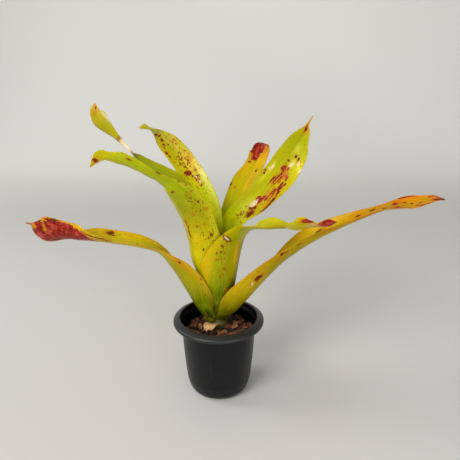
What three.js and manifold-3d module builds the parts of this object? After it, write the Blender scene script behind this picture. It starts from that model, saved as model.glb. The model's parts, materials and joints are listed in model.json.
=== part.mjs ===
// A neoregelia bromeliad in its round nursery pot, in millimetres, +Z up.
// Origin: the centre of the pot's flat base, on the surface that it stands on.
// The plant is a short conical stem with strap leaves round it. Each leaf starts as a sheath that wraps
// the stem, the youngest innermost, and opens into a channelled blade that ends in a small spine.
import * as THREE from "three";
import { mergeVertices } from "three/addons/utils/BufferGeometryUtils.js";
import Module from "manifold-3d";

const RAD = Math.PI / 180;
const GAP = 0.3; // clearance between pieces that touch

// ---- pot ----
const POT = {
  height: 77.4,
  lipRadius: 43.6, // outer edge of the rolled lip
  mouthRadius: 36.4,
  shoulderRadius: 35.2, // body just under the lip
  footRadius: 24,
  wall: 1.4,
  floor: 2,
  sides: 44,
};
const DRAIN = { count: 4, radius: 3.5, ringRadius: 14, sides: 12 };

// ---- growing mix ----
const GOLDEN_ANGLE = Math.PI * (3 - Math.sqrt(5)); // successive turns of this size never line up
const MIX = {
  level: 64, // height of its surface
  holeRadius: 10.6, // plain hole that the stem stands in
  holeFloor: 44,
  holeSides: 24,
  sides: 44,
  chips: 34,
  nearest: 12, // distance of the innermost chips from the pot's axis
  spread: 14, // and how much further out the outermost lie
  lowRing: 19, // chips lie lower within this distance of the stem
  sink: 2.4, // by this much
  bare: { x: -8, y: -7, radius: 11 }, // none under the dry leaf base
  seed: 11,
  bigChip: { length: 31, width: 11, thick: 5, x: 12.5, y: -16, turn: 20 },
};

// ---- plant ----
const CROWN = { x: -2, y: 12, z: 62 }; // where the stem leaves the mix; "up" below is measured from here
const STEM = {
  depth: 17, // below the crown
  heelRadius: 7.1,
  heel: 5, // height of the rounding at its foot
  baseRadius: 10.2,
  shoulder: 5, // above the crown, where it starts to narrow
  tipRadius: 1.6,
  top: 25, // above the crown
  sides: 20,
};
const THICKNESS = 0.8; // of every blade
const ACROSS = 8; // facets across a blade
const PER_SPAN = 2; // facets along, between two stations

// Sheaths nest: the outermost follows a funnel round the stem, each later one a step further in.
const NEST = {
  radius: 10.3, // of the funnel at the crown
  flare: 0.32, // its growth for every millimetre up
  ease: 0.0014, // and how that growth falls off
  step: 1.45, // from one sheath to the next, at the crown
  stepGrowth: 0.01, // and what the step gains for every millimetre up
  start: 5, // where the outermost sheath begins, above the crown
  rise: 2.2, // each later sheath begins this much higher
  long: 30, // a sheath longer than this has a station at half of its height too
};

// A station is [up, out, aside, halfWidth, curl, twist]: millimetres above the crown, away from its axis
// towards "faces" and to that direction's left; half of the blade's width along its own arc; the arc's
// half angle in degrees, where 0 is flat; and the turn of the blade about its midrib in degrees.
// "wrap" holds the sheath's half angle round the stem at its foot and at its top, and "leaves" the height
// where the sheath ends and the first station follows.
const LEAVES = {
  // The torn base of a leaf long gone has no sheath left: its stations start at the stem.
  dry_leaf_base: {
    faces: 252, thickness: 1.6, colour: 0xc9b489,
    blade: [
      [3, 11.9, 2, 7, 34, 0],
      [5.6, 14.4, 2, 7.4, 30, 0],
      [7.4, 17.4, 1, 8, 24, 0],
      [6.8, 20.4, 0, 7.4, 26, 0],
      [4.8, 22.8, -1, 6, 26, 0],
      [3.4, 24.6, -1, 3.6, 20, 0],
    ],
  },
  leaf_left_long: {
    faces: 180, order: 0, wrap: [80, 84], leaves: 12, colour: 0xb9a01c,
    blade: [
      [18, 18, 4.2, 21, 86, 10],
      [27, 21.8, 7.6, 23.5, 92, 18],
      [40, 26.2, 12.9, 23.5, 86, 31],
      [54.5, 34, 12, 20.5, 72, 35],
      [67, 43, 10, 17, 58, 25],
      [77.2, 52, 8, 13.5, 46, 8],
      [82.5, 63, 7.2, 13, 42, -5],
      [86.2, 78, 7, 15, 42, -8],
      [88.2, 95, 7, 16.5, 48, -6],
      [90, 110, 9, 18.5, 62, 2],
      [91.5, 125, 10, 18.5, 80, 22],
      [95, 137, 11, 15.5, 56, 48],
      [98.8, 151, 12, 15, 34, 64],
      [102.6, 160, 12, 13.2, 26, 64],
      [106.5, 166, 12, 2, 10, 66],
      [108, 171, 12, 0.6, 2, 66],
    ],
  },
  leaf_right_long: {
    faces: 348, order: 1, wrap: [70, 76], leaves: 12, colour: 0xc49a14,
    blade: [
      [16, 18.4, -3.4, 21.5, 88, -10],
      [24, 24.4, -5.1, 24.5, 94, -16],
      [35, 32.1, -8.3, 23, 88, -25],
      [48, 41.5, -9.2, 19, 80, -29],
      [62, 53, -8.6, 16.5, 74, -25],
      [77, 67.5, -6.4, 16.5, 76, -8],
      [91, 84, -6, 17, 80, 2],
      [103.5, 102, -6, 14.5, 74, 4],
      [118, 128, -6, 10.2, 56, 2],
      [126, 144, -6, 7.4, 44, 2],
      [129, 155, -5, 8, 40, 12],
      [131.5, 166, -3, 9.4, 30, 20],
      [134, 177, -2, 7.2, 26, 22],
      [137, 186, -1, 4, 20, 25],
      [136, 194, 1, 0.6, 2, 25],
    ],
  },
  leaf_front: {
    faces: 310, order: 2, wrap: [84, 86], leaves: 60, colour: 0x9aa61a,
    blade: [
      [80, 24, 0, 25, 60, 0],
      [93.5, 27, 2, 17.5, 40, 0],
      [104.5, 38, 4, 15, 40, 4],
      [110, 51, 7, 15, 42, 16],
      [112, 62.5, 11, 14, 42, 17],
      [113.5, 73, 15.5, 11, 40, 6],
      [115, 80, 18.5, 12, 40, 24],
      [116, 86, 22, 12.5, 40, 26],
      [117, 91.5, 26, 9, 36, 14],
      [117.8, 96, 28.5, 5, 30, 14],
      [119, 100.5, 31.5, 6.5, 30, 30],
      [120.4, 104.5, 34.5, 6, 26, 30],
      [122.5, 108, 36.5, 0.6, 2, 24],
    ],
  },
  leaf_left_front: {
    faces: 235, order: 3, wrap: [84, 74], leaves: 52, colour: 0x9fae10,
    blade: [
      [70, 20, -3.8, 26, 66, 0],
      [86, 22.5, -4, 24.6, 58, 0],
      [103, 26.5, -4.2, 22, 50, 4],
      [118, 32.5, -3, 20, 44, 12],
      [132, 41.5, -1.4, 16, 38, 22],
      [143.3, 51, -4, 12, 34, 20],
      [150.4, 57.5, -9, 9, 32, 6],
      [157, 65.5, -16, 8, 30, 4],
      [163.8, 73.5, -23, 8.6, 30, 8],
      [169.3, 81, -31, 9.2, 28, 12],
      [172, 87.5, -37, 6, 26, 14],
      [172.6, 92, -41, 7.4, 26, 14],
      [169, 96, -44, 4.5, 20, 8],
      [165, 99, -46.5, 0.6, 2, 0],
    ],
  },
  leaf_left_back: {
    faces: 170, order: 4, wrap: [80, 60], leaves: 84, colour: 0x93a31a,
    blade: [
      [114, 23.5, 4, 10, 40, 0],
      [129, 29.5, 5, 10, 38, 0],
      [141, 37, 5, 13, 36, -4],
      [147.5, 49, 4, 14.5, 32, -8],
      [154.2, 62, 4, 12.8, 30, -8],
      [164, 73, 4, 7.5, 30, 0],
      [170.5, 79, 4, 3.4, 30, 40],
      [180.5, 89.5, 4, 3.8, 36, 62],
      [188.2, 98, 4, 6.5, 44, 75],
      [196, 106.2, 4, 9.5, 48, 80],
      [203, 110.3, 3, 8, 42, 78],
      [206.5, 109.3, 3, 4.8, 30, 74],
      [211, 108.5, 3, 0.6, 2, 74],
    ],
  },
  leaf_back: {
    faces: 60, order: 5, wrap: [76, 54], leaves: 84, colour: 0xb09d18,
    blade: [
      [98, 20, -2, 11.5, 46, 0],
      [110, 27, -2, 11, 40, 0],
      [121, 37, -3, 13, 36, 0],
      [135, 50, -5.6, 15, 32, 0],
      [147, 60, -8, 11.5, 30, 0],
      [155, 69, -8.2, 11, 28, 0],
      [163, 76, -7.2, 10.6, 28, 0],
      [168, 80, -5, 6, 22, 0],
      [169, 85, -9, 0.6, 2, 0],
    ],
  },
  leaf_right: {
    faces: 20, order: 6, wrap: [84, 60], leaves: 84, colour: 0xa3ab14,
    blade: [
      [98, 18.5, -1, 18, 52, 6],
      [111, 26, -3, 15, 42, 20],
      [121, 38, -5, 14.5, 38, 34],
      [134, 50, -5, 16, 34, 42],
      [146.5, 62.5, -5, 16, 30, 46],
      [162.5, 74.5, -3, 14.5, 28, 46],
      [175, 82, 0, 10.5, 26, 46],
      [185.5, 90, 2, 5, 22, 46],
      [191, 93, 3, 1.4, 8, 46],
      [199, 99, 4, 0.6, 2, 46],
    ],
  },
  leaf_back_left: {
    faces: 115, order: 7, wrap: [80, 60], leaves: 84, colour: 0xa8b012,
    blade: [
      [108, 13.5, 1, 12.5, 50, -8],
      [124, 18.5, 3, 12.2, 42, -16],
      [140, 28, 8.5, 12, 36, -20],
      [153, 38, 14, 11.7, 32, -20],
      [166, 51, 20.5, 11.2, 30, -20],
      [174.5, 61, 26.5, 9.2, 28, -20],
      [181, 69, 31.5, 5, 26, -20],
      [184.7, 75.5, 35.5, 2, 20, -20],
      [186.2, 79, 39, 2, 20, -20],
      [187.2, 83, 42, 3.2, 26, -20],
      [186, 87, 46, 0.6, 2, -20],
    ],
  },
  leaf_young_outer: {
    faces: 265, order: 8, wrap: [70, 60], leaves: 60, colour: 0x9fb436,
    blade: [
      [76, 7, 0, 6, 50, 0],
      [86, 7, 0, 2.5, 34, 0],
      [92, 7, 0, 0.6, 2, 0],
    ],
  },
  leaf_young_inner: {
    faces: 100, order: 9, wrap: [64, 56], leaves: 48, colour: 0xaabd4a,
    blade: [
      [62, 5, 0, 4, 44, 0],
      [72, 5, 0, 0.6, 2, 0],
    ],
  },
};

const wasm = await Module();
wasm.setup();

function toSolid(geometry) {
  const bare = geometry.index ? geometry.toNonIndexed() : geometry.clone();
  bare.deleteAttribute("normal");
  bare.deleteAttribute("uv");
  const merged = mergeVertices(bare, 1e-3);
  return new wasm.Manifold(
    new wasm.Mesh({
      numProp: 3,
      vertProperties: merged.attributes.position.array,
      triVerts: new Uint32Array(merged.index.array),
    }),
  );
}

// The largest body of a solid: sealed pockets between fused pieces are filled, and loose scraps dropped.
function outerBody(solid) {
  return solid.decompose().reduce((most, body) => (body.volume() > most.volume() ? body : most));
}

function toGeometry(solid) {
  const mesh = solid.getMesh();
  const geometry = new THREE.BufferGeometry();
  geometry.setAttribute("position", new THREE.BufferAttribute(mesh.vertProperties, 3));
  geometry.setIndex(new THREE.BufferAttribute(mesh.triVerts, 1));
  geometry.computeVertexNormals();
  return geometry;
}

function piece(name, geometry, material) {
  const mesh = new THREE.Mesh(geometry, material);
  mesh.name = name;
  return mesh;
}

// A turned body about Z through (x, y), from [radius, height] points.
function turned(points, sides, x = 0, y = 0) {
  const profile = points.map(([r, z]) => new THREE.Vector2(r, z));
  return new THREE.LatheGeometry(profile, sides).rotateX(Math.PI / 2).translate(x, y, 0);
}

// A repeatable random number between 0 and 1.
function seeded(seed) {
  let state = seed;
  return () => {
    state = (state * 16807) % 2147483647;
    return state / 2147483647;
  };
}

// ---- pot ----

// The body's outside, from the foot up to the lip's underside: [radius, height].
const POT_SIDE = [
  [POT.footRadius, 0],
  [POT.footRadius + 0.3, 1.2],
  [26.6, 1.6],
  [28.2, 3.6],
  [29.6, 7],
  [31.3, 14],
  [32.5, 25],
  [33.6, 38],
  [34.6, 52],
  [POT.shoulderRadius, 70.6],
];
const POT_LIP = [
  [35.8, 73],
  [37.2, 75.4],
  [41.6, 73.9],
  [42.8, 71.9],
  [43.4, 72],
  [POT.lipRadius, 73.6],
  [43, 74.9],
  [39.4, POT.height - 0.3],
  [38, POT.height],
  [36.9, POT.height - 0.6],
  [POT.mouthRadius, POT.height - 2.4],
];

// The cavity's wall, one wall thickness inside the body's outside, from the mouth down.
const POT_INSIDE = POT_SIDE.slice(3)
  .map(([r, z]) => [r - POT.wall, z])
  .reverse();

function makePot() {
  const profile = [
    [0, 0],
    ...POT_SIDE,
    ...POT_LIP,
    ...POT_INSIDE,
    [26, POT.floor],
    [0, POT.floor],
  ];
  let solid = toSolid(turned(profile, POT.sides));
  for (let i = 0; i < DRAIN.count; i++) {
    const angle = ((i + 0.5) * 2 * Math.PI) / DRAIN.count;
    const drill = new THREE.CylinderGeometry(DRAIN.radius, DRAIN.radius, 3 * POT.floor, DRAIN.sides)
      .rotateX(Math.PI / 2)
      .translate(DRAIN.ringRadius * Math.cos(angle), DRAIN.ringRadius * Math.sin(angle), 0);
    solid = solid.subtract(toSolid(drill));
  }
  return toGeometry(solid);
}

// ---- growing mix ----

// One broken chip of bark: a box whose corners are pulled in unevenly, laid on the surface and tilted.
function barkChip(random, length, width, thick) {
  const box = new THREE.BoxGeometry(length, width, thick);
  const merged = mergeVertices(box.deleteAttribute("normal").deleteAttribute("uv"), 1e-3);
  const corner = merged.attributes.position;
  for (let i = 0; i < corner.count; i++) {
    corner.setXYZ(
      i,
      corner.getX(i) * (0.62 + 0.38 * random()),
      corner.getY(i) * (0.55 + 0.45 * random()),
      corner.getZ(i) * (0.7 + 0.3 * random()),
    );
  }
  return merged;
}

function makeMix() {
  const inside = POT_INSIDE.map(([r, z]) => [r - GAP, z]).filter(([, z]) => z < MIX.level - 2);
  const profile = [
    [0, POT.floor + GAP],
    [25.4, POT.floor + GAP],
    ...inside.reverse(),
    [33.1, MIX.level - 1.6],
    [31, MIX.level],
    [24, MIX.level + 0.6],
    [16, MIX.level - 1],
    [0, MIX.level - 1],
  ];
  let solid = toSolid(turned(profile, MIX.sides));
  const random = seeded(MIX.seed);
  for (let i = 0; i < MIX.chips; i++) {
    const length = 7 + 8 * random();
    const chip = barkChip(random, length, length * (0.45 + 0.3 * random()), 3 + 2.4 * random());
    // Chips spread evenly over the ring between the crown and the pot's wall.
    const ring = Math.sqrt((i + 0.5) / MIX.chips);
    const angle = i * GOLDEN_ANGLE;
    const reach = MIX.nearest + MIX.spread * ring;
    chip.rotateY((random() - 0.5) * 0.5);
    chip.rotateX((random() - 0.5) * 0.5);
    chip.rotateZ(angle + (random() - 0.5) * 2);
    const x = reach * Math.cos(angle);
    const y = reach * Math.sin(angle);
    const sunk = Math.hypot(x - CROWN.x, y - CROWN.y) < MIX.lowRing ? MIX.sink : 0;
    if (Math.hypot(x - MIX.bare.x, y - MIX.bare.y) < MIX.bare.radius) continue;
    chip.translate(x, y, MIX.level - sunk + 0.4 * random());
    solid = solid.add(toSolid(chip));
  }
  const big = MIX.bigChip;
  const slab = barkChip(random, big.length, big.width, big.thick);
  slab.rotateX(0.35).rotateZ(big.turn * RAD).translate(big.x, big.y, MIX.level + 1.4);
  solid = solid.add(toSolid(slab));
  const drillLength = 60;
  const hole = new THREE.CylinderGeometry(MIX.holeRadius, MIX.holeRadius, drillLength, MIX.holeSides)
    .rotateX(Math.PI / 2)
    .translate(CROWN.x, CROWN.y, MIX.holeFloor + drillLength / 2);
  return toGeometry(outerBody(solid.subtract(toSolid(hole))));
}

// ---- plant ----

function makeStem() {
  const foot = CROWN.z - STEM.depth;
  const profile = [
    [0, foot],
    [STEM.heelRadius, foot + 1],
    [STEM.baseRadius, foot + STEM.heel],
    [STEM.baseRadius, CROWN.z + STEM.shoulder],
    [STEM.tipRadius, CROWN.z + STEM.top],
    [0, CROWN.z + STEM.top + 1],
  ];
  return turned(profile, STEM.sides, CROWN.x, CROWN.y);
}

function nestRadius(up, order) {
  const funnel = NEST.radius + NEST.flare * up - NEST.ease * up * up;
  return funnel - order * (NEST.step + NEST.stepGrowth * up);
}

// The sheath's stations, wrapped round the stem, then the blade's own.
function stationsOf({ order, wrap, leaves, blade }) {
  if (!wrap) return blade;
  const start = NEST.start + NEST.rise * order;
  const steps = leaves - start > NEST.long ? 3 : 2;
  const sheath = [];
  for (let i = 0; i < steps; i++) {
    const share = i / (steps - 1);
    const up = start + (leaves - start) * share;
    const radius = nestRadius(up, order);
    const curl = wrap[0] + (wrap[1] - wrap[0]) * share;
    sheath.push([up, radius, 0, radius * curl * RAD, curl, 0]);
  }
  return [...sheath, ...blade];
}

function smooth(values, t) {
  const last = values.length - 1;
  const i = Math.min(Math.floor(t), last - 1);
  const f = t - i;
  const at = (k) => values[Math.max(0, Math.min(last, k))];
  const [a, b, c, d] = [at(i - 1), at(i), at(i + 1), at(i + 2)];
  return b + 0.5 * f * (c - a + f * (2 * a - 5 * b + 4 * c - d + f * (3 * (b - c) + d - a)));
}

function makeLeaf(leaf) {
  const thickness = leaf.thickness ?? THICKNESS;
  const stations = stationsOf(leaf);
  const out = new THREE.Vector3(Math.cos(leaf.faces * RAD), Math.sin(leaf.faces * RAD), 0);
  const side = new THREE.Vector3(-out.y, out.x, 0);
  const column = (k) => stations.map((s) => s[k]);
  const [ups, outs, asides, halves, curls, twists] = [0, 1, 2, 3, 4, 5].map(column);
  const middle = (t) =>
    new THREE.Vector3(CROWN.x, CROWN.y, CROWN.z + smooth(ups, t))
      .addScaledVector(out, smooth(outs, t))
      .addScaledVector(side, smooth(asides, t));

  const rows = (stations.length - 1) * PER_SPAN;
  const faceUp = [];
  const faceDown = [];
  let normal = out.clone().negate();
  let before = null;
  for (let i = 0; i <= rows; i++) {
    const t = i / PER_SPAN;
    const tangent = middle(Math.min(t + 0.05, stations.length - 1))
      .sub(middle(Math.max(t - 0.05, 0)))
      .normalize();
    if (before) {
      normal.applyQuaternion(new THREE.Quaternion().setFromUnitVectors(before, tangent));
    }
    normal.addScaledVector(tangent, -normal.dot(tangent)).normalize();
    before = tangent;
    const face = normal.clone().applyAxisAngle(tangent, smooth(twists, t) * RAD);
    const across = tangent.clone().cross(face);
    const curl = Math.max(smooth(curls, t), 1) * RAD;
    const half = Math.max(smooth(halves, t), 0.5);
    const radius = half / curl;
    const centre = middle(t).addScaledVector(face, radius);
    for (let j = 0; j <= ACROSS; j++) {
      const angle = curl * ((2 * j) / ACROSS - 1);
      const spoke = across.clone().multiplyScalar(Math.sin(angle)).addScaledVector(face, -Math.cos(angle));
      faceDown.push(centre.clone().addScaledVector(spoke, radius + thickness / 2));
      faceUp.push(centre.clone().addScaledVector(spoke, radius - thickness / 2));
    }
  }
  return closedBlade(faceUp, faceDown, rows, ACROSS);
}

// Joins two grids of points, split alike, into one closed skin.
function closedBlade(faceUp, faceDown, rows, across) {
  const wide = across + 1;
  const offset = faceUp.length;
  const index = [];
  const quad = (a, b, c, d) => index.push(a, b, c, a, c, d);
  for (let i = 0; i < rows; i++) {
    for (let j = 0; j < across; j++) {
      const a = i * wide + j;
      const b = a + 1;
      const c = a + wide + 1;
      const d = a + wide;
      quad(a, b, c, d);
      index.push(offset + a, offset + c, offset + b, offset + a, offset + d, offset + c);
    }
    const left = i * wide;
    const right = left + across;
    quad(left, left + wide, offset + left + wide, offset + left);
    quad(right, offset + right, offset + right + wide, right + wide);
  }
  for (let j = 0; j < across; j++) {
    quad(j, offset + j, offset + j + 1, j + 1);
    const end = rows * wide + j;
    quad(end, end + 1, offset + end + 1, offset + end);
  }
  const geometry = new THREE.BufferGeometry();
  geometry.setFromPoints([...faceUp, ...faceDown]);
  geometry.setIndex(index);
  geometry.computeVertexNormals();
  return geometry;
}

const plastic = new THREE.MeshStandardMaterial({ color: 0x2f3133, roughness: 0.55, metalness: 0 });
const bark = new THREE.MeshStandardMaterial({ color: 0x4a2f20, roughness: 0.95, metalness: 0 });
const stemGreen = new THREE.MeshStandardMaterial({ color: 0x5d6a1c, roughness: 0.7, metalness: 0 });

const plant = new THREE.Group();
plant.add(piece("pot", makePot(), plastic));
plant.add(piece("bark_mix", makeMix(), bark));
plant.add(piece("stem", makeStem(), stemGreen));
for (const [name, leaf] of Object.entries(LEAVES)) {
  const skin = new THREE.MeshStandardMaterial({ color: leaf.colour, roughness: 0.42, metalness: 0 });
  plant.add(piece(name, makeLeaf(leaf), skin));
}

export default plant;
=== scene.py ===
"""Potted neoregelia: the finished pieces of a bromeliad in its nursery pot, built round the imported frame."""
import json
import math

import bpy
import numpy as np
from bpy.props import FloatProperty, FloatVectorProperty, IntProperty, PointerProperty
from mathutils import Matrix, Vector

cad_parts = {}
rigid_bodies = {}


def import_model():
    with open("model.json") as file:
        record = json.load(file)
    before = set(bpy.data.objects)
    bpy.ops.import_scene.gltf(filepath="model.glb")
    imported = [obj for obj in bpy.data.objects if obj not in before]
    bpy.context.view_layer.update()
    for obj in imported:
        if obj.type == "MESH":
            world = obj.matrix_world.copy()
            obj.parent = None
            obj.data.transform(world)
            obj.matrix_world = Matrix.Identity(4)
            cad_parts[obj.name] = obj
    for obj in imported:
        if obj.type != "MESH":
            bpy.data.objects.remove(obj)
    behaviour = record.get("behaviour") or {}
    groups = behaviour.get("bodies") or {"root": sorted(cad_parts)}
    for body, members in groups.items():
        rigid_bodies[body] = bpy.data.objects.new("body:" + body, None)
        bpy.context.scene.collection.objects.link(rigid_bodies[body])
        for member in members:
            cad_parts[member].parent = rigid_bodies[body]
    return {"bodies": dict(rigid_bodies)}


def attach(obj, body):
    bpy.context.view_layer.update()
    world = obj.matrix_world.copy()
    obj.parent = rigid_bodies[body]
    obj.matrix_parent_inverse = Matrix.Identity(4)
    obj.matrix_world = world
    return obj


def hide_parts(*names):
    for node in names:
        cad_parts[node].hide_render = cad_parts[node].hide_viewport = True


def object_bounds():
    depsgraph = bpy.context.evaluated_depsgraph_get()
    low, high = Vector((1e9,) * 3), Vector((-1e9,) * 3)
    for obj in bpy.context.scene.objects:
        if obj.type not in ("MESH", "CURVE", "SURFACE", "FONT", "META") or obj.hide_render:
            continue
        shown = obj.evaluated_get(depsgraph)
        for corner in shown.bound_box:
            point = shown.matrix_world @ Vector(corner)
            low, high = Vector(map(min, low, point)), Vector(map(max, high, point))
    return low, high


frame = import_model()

bl_info = {
    "name": "Potted neoregelia",
    "version": (1, 0, 0),
    "blender": (4, 5, 0),
    "location": "3D View > Sidebar > Neoregelia",
    "description": "Builds a neoregelia bromeliad in its nursery pot, piece by piece",
    "category": "Object",
}

MM = 0.001
CAD_BOX = [list(corner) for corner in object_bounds()]
BODY = "root" if "root" in frame["bodies"] else next(iter(frame["bodies"]))

# ---- the plant's own frame, in millimetres ----
CROWN = np.array([-2.0, 12.0, 62.0])  # where the stem leaves the mix; "up" below is measured from here

# The sheaths are nested shells round the stem. The outermost has this radius at the crown, widens by "flare"
# a millimetre and less by "ease" further up. Each next one is smaller by "step", more so further up, and
# starts "rise" higher. A sheath over "long" gets a station in its middle.
NEST = {"radius": 10.3, "flare": 0.32, "ease": 0.0014, "step": 1.45, "step_growth": 0.01,
        "start": 5, "rise": 2.2, "long": 30}

# A leaf leans towards "faces", in degrees from +X. "order" is its sheath's place, from the outermost inwards,
# "wrap" its sheath's half angle round the stem at both ends, and "leaves" how far up the blade leaves it.
# A station is (up, out, aside, half width, curl, twist): millimetres above the crown, away from its axis
# towards "faces" and to that direction's left; half of the blade's width along its own arc; the arc's
# half angle in degrees; and the turn of the blade about its midrib in degrees.
LEAF_FORMS = {
    "dry_leaf_base": {
        "faces": 252,
        "blade": [
            (3, 11.9, 2, 7, 34, 0), (5.6, 14.4, 2, 7.4, 30, 0), (7.4, 17.4, 1, 8, 24, 0),
            (6.8, 20.4, 0, 7.4, 26, 0), (4.8, 22.8, -1, 6, 26, 0), (3.4, 24.6, -1, 3.6, 20, 0),
        ],
    },
    "leaf_left_long": {
        "faces": 180, "order": 0, "wrap": (80, 84), "leaves": 12,
        "blade": [
            (18, 18, 4.2, 21, 86, 10), (27, 21.8, 7.6, 23.5, 92, 18), (40, 26.2, 12.9, 23.5, 86, 31),
            (54.5, 34, 12, 20.5, 72, 35), (67, 43, 10, 17, 58, 25), (77.2, 52, 8, 13.5, 46, 8),
            (82.5, 63, 7.2, 13, 42, -5), (86.2, 78, 7, 15, 42, -8), (88.2, 95, 7, 16.5, 48, -6),
            (90, 110, 9, 18.5, 62, 2), (91.5, 125, 10, 18.5, 80, 22), (95, 137, 11, 15.5, 56, 48),
            (98.8, 151, 12, 15, 34, 64), (102.6, 160, 12, 13.2, 26, 64), (106.5, 166, 12, 2, 10, 66),
            (108, 171, 12, 0.6, 2, 66),
        ],
    },
    "leaf_right_long": {
        "faces": 348, "order": 1, "wrap": (70, 76), "leaves": 12,
        "blade": [
            (16, 18.4, -3.4, 21.5, 88, -10), (24, 24.4, -5.1, 24.5, 94, -16), (35, 32.1, -8.3, 23, 88, -25),
            (48, 41.5, -9.2, 19, 80, -29), (62, 53, -8.6, 16.5, 74, -25), (77, 67.5, -6.4, 16.5, 76, -8),
            (91, 84, -6, 17, 80, 2), (103.5, 102, -6, 14.5, 74, 4), (118, 128, -6, 10.2, 56, 2),
            (126, 144, -6, 7.4, 44, 2), (129, 155, -5, 8, 40, 12), (131.5, 166, -3, 9.4, 30, 20),
            (134, 177, -2, 7.2, 26, 22), (137, 186, -1, 4, 20, 25), (136, 194, 1, 0.6, 2, 25),
        ],
    },
    "leaf_front": {
        "faces": 310, "order": 2, "wrap": (84, 86), "leaves": 60,
        "blade": [
            (80, 24, 0, 25, 60, 0), (93.5, 27, 2, 17.5, 40, 0), (104.5, 38, 4, 15, 40, 4),
            (110, 51, 7, 15, 42, 16), (112, 62.5, 11, 14, 42, 17), (113.5, 73, 15.5, 11, 40, 6),
            (115, 80, 18.5, 12, 40, 24), (116, 86, 22, 12.5, 40, 26), (117, 91.5, 26, 9, 36, 14),
            (117.8, 96, 28.5, 5, 30, 14), (119, 100.5, 31.5, 6.5, 30, 30), (120.4, 104.5, 34.5, 6, 26, 30),
            (122.5, 108, 36.5, 0.6, 2, 24),
        ],
    },
    "leaf_left_front": {
        "faces": 235, "order": 3, "wrap": (84, 74), "leaves": 52,
        "blade": [
            (70, 20, -3.8, 26, 66, 0), (86, 22.5, -4, 24.6, 58, 0), (103, 26.5, -4.2, 22, 50, 4),
            (118, 32.5, -3, 20, 44, 12), (132, 41.5, -1.4, 16, 38, 22), (143.3, 51, -4, 12, 34, 20),
            (150.4, 57.5, -9, 9, 32, 6), (157, 65.5, -16, 8, 30, 4), (163.8, 73.5, -23, 8.6, 30, 8),
            (169.3, 81, -31, 9.2, 28, 12), (172, 87.5, -37, 6, 26, 14), (172.6, 92, -41, 7.4, 26, 14),
            (169, 96, -44, 4.5, 20, 8), (165, 99, -46.5, 0.6, 2, 0),
        ],
    },
    "leaf_left_back": {
        "faces": 170, "order": 4, "wrap": (80, 60), "leaves": 84,
        "blade": [
            (114, 23.5, 4, 10, 40, 0), (129, 29.5, 5, 10, 38, 0), (141, 37, 5, 13, 36, -4),
            (147.5, 49, 4, 14.5, 32, -8), (154.2, 62, 4, 12.8, 30, -8), (164, 73, 4, 7.5, 30, 0),
            (170.5, 79, 4, 3.4, 30, 40), (180.5, 89.5, 4, 3.8, 36, 62), (188.2, 98, 4, 6.5, 44, 75),
            (196, 106.2, 4, 9.5, 48, 80), (203, 110.3, 3, 8, 42, 78), (206.5, 109.3, 3, 4.8, 30, 74),
            (211, 108.5, 3, 0.6, 2, 74),
        ],
    },
    "leaf_back": {
        "faces": 60, "order": 5, "wrap": (76, 54), "leaves": 84,
        "blade": [
            (98, 20, -2, 11.5, 46, 0), (110, 27, -2, 11, 40, 0), (121, 37, -3, 13, 36, 0),
            (135, 50, -5.6, 15, 32, 0), (147, 60, -8, 11.5, 30, 0), (155, 69, -8.2, 11, 28, 0),
            (163, 76, -7.2, 10.6, 28, 0), (168, 80, -5, 6, 22, 0), (169, 85, -9, 0.6, 2, 0),
        ],
    },
    "leaf_right": {
        "faces": 20, "order": 6, "wrap": (84, 60), "leaves": 84,
        "blade": [
            (98, 18.5, -1, 18, 52, 6), (111, 26, -3, 15, 42, 20), (121, 38, -5, 14.5, 38, 34),
            (134, 50, -5, 16, 34, 42), (146.5, 62.5, -5, 16, 30, 46), (162.5, 74.5, -3, 14.5, 28, 46),
            (175, 82, 0, 10.5, 26, 46), (185.5, 90, 2, 5, 22, 46), (191, 93, 3, 1.4, 8, 46),
            (199, 99, 4, 0.6, 2, 46),
        ],
    },
    "leaf_back_left": {
        "faces": 115, "order": 7, "wrap": (80, 60), "leaves": 84,
        "blade": [
            (108, 13.5, 1, 12.5, 50, -8), (124, 18.5, 3, 12.2, 42, -16), (140, 28, 8.5, 12, 36, -20),
            (153, 38, 14, 11.7, 32, -20), (166, 51, 20.5, 11.2, 30, -20), (174.5, 61, 26.5, 9.2, 28, -20),
            (181, 69, 31.5, 5, 26, -20), (184.7, 75.5, 35.5, 2, 20, -20), (186.2, 79, 39, 2, 20, -20),
            (187.2, 83, 42, 3.2, 26, -20), (186, 87, 46, 0.6, 2, -20),
        ],
    },
    "leaf_young_outer": {
        "faces": 265, "order": 8, "wrap": (70, 60), "leaves": 60,
        "blade": [
            (76, 7, 0, 6, 50, 0), (86, 7, 0, 2.5, 34, 0), (92, 7, 0, 0.6, 2, 0),
        ],
    },
    "leaf_young_inner": {
        "faces": 100, "order": 9, "wrap": (64, 56), "leaves": 48,
        "blade": [
            (62, 5, 0, 4, 44, 0), (72, 5, 0, 0.6, 2, 0),
        ],
    },
}

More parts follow.
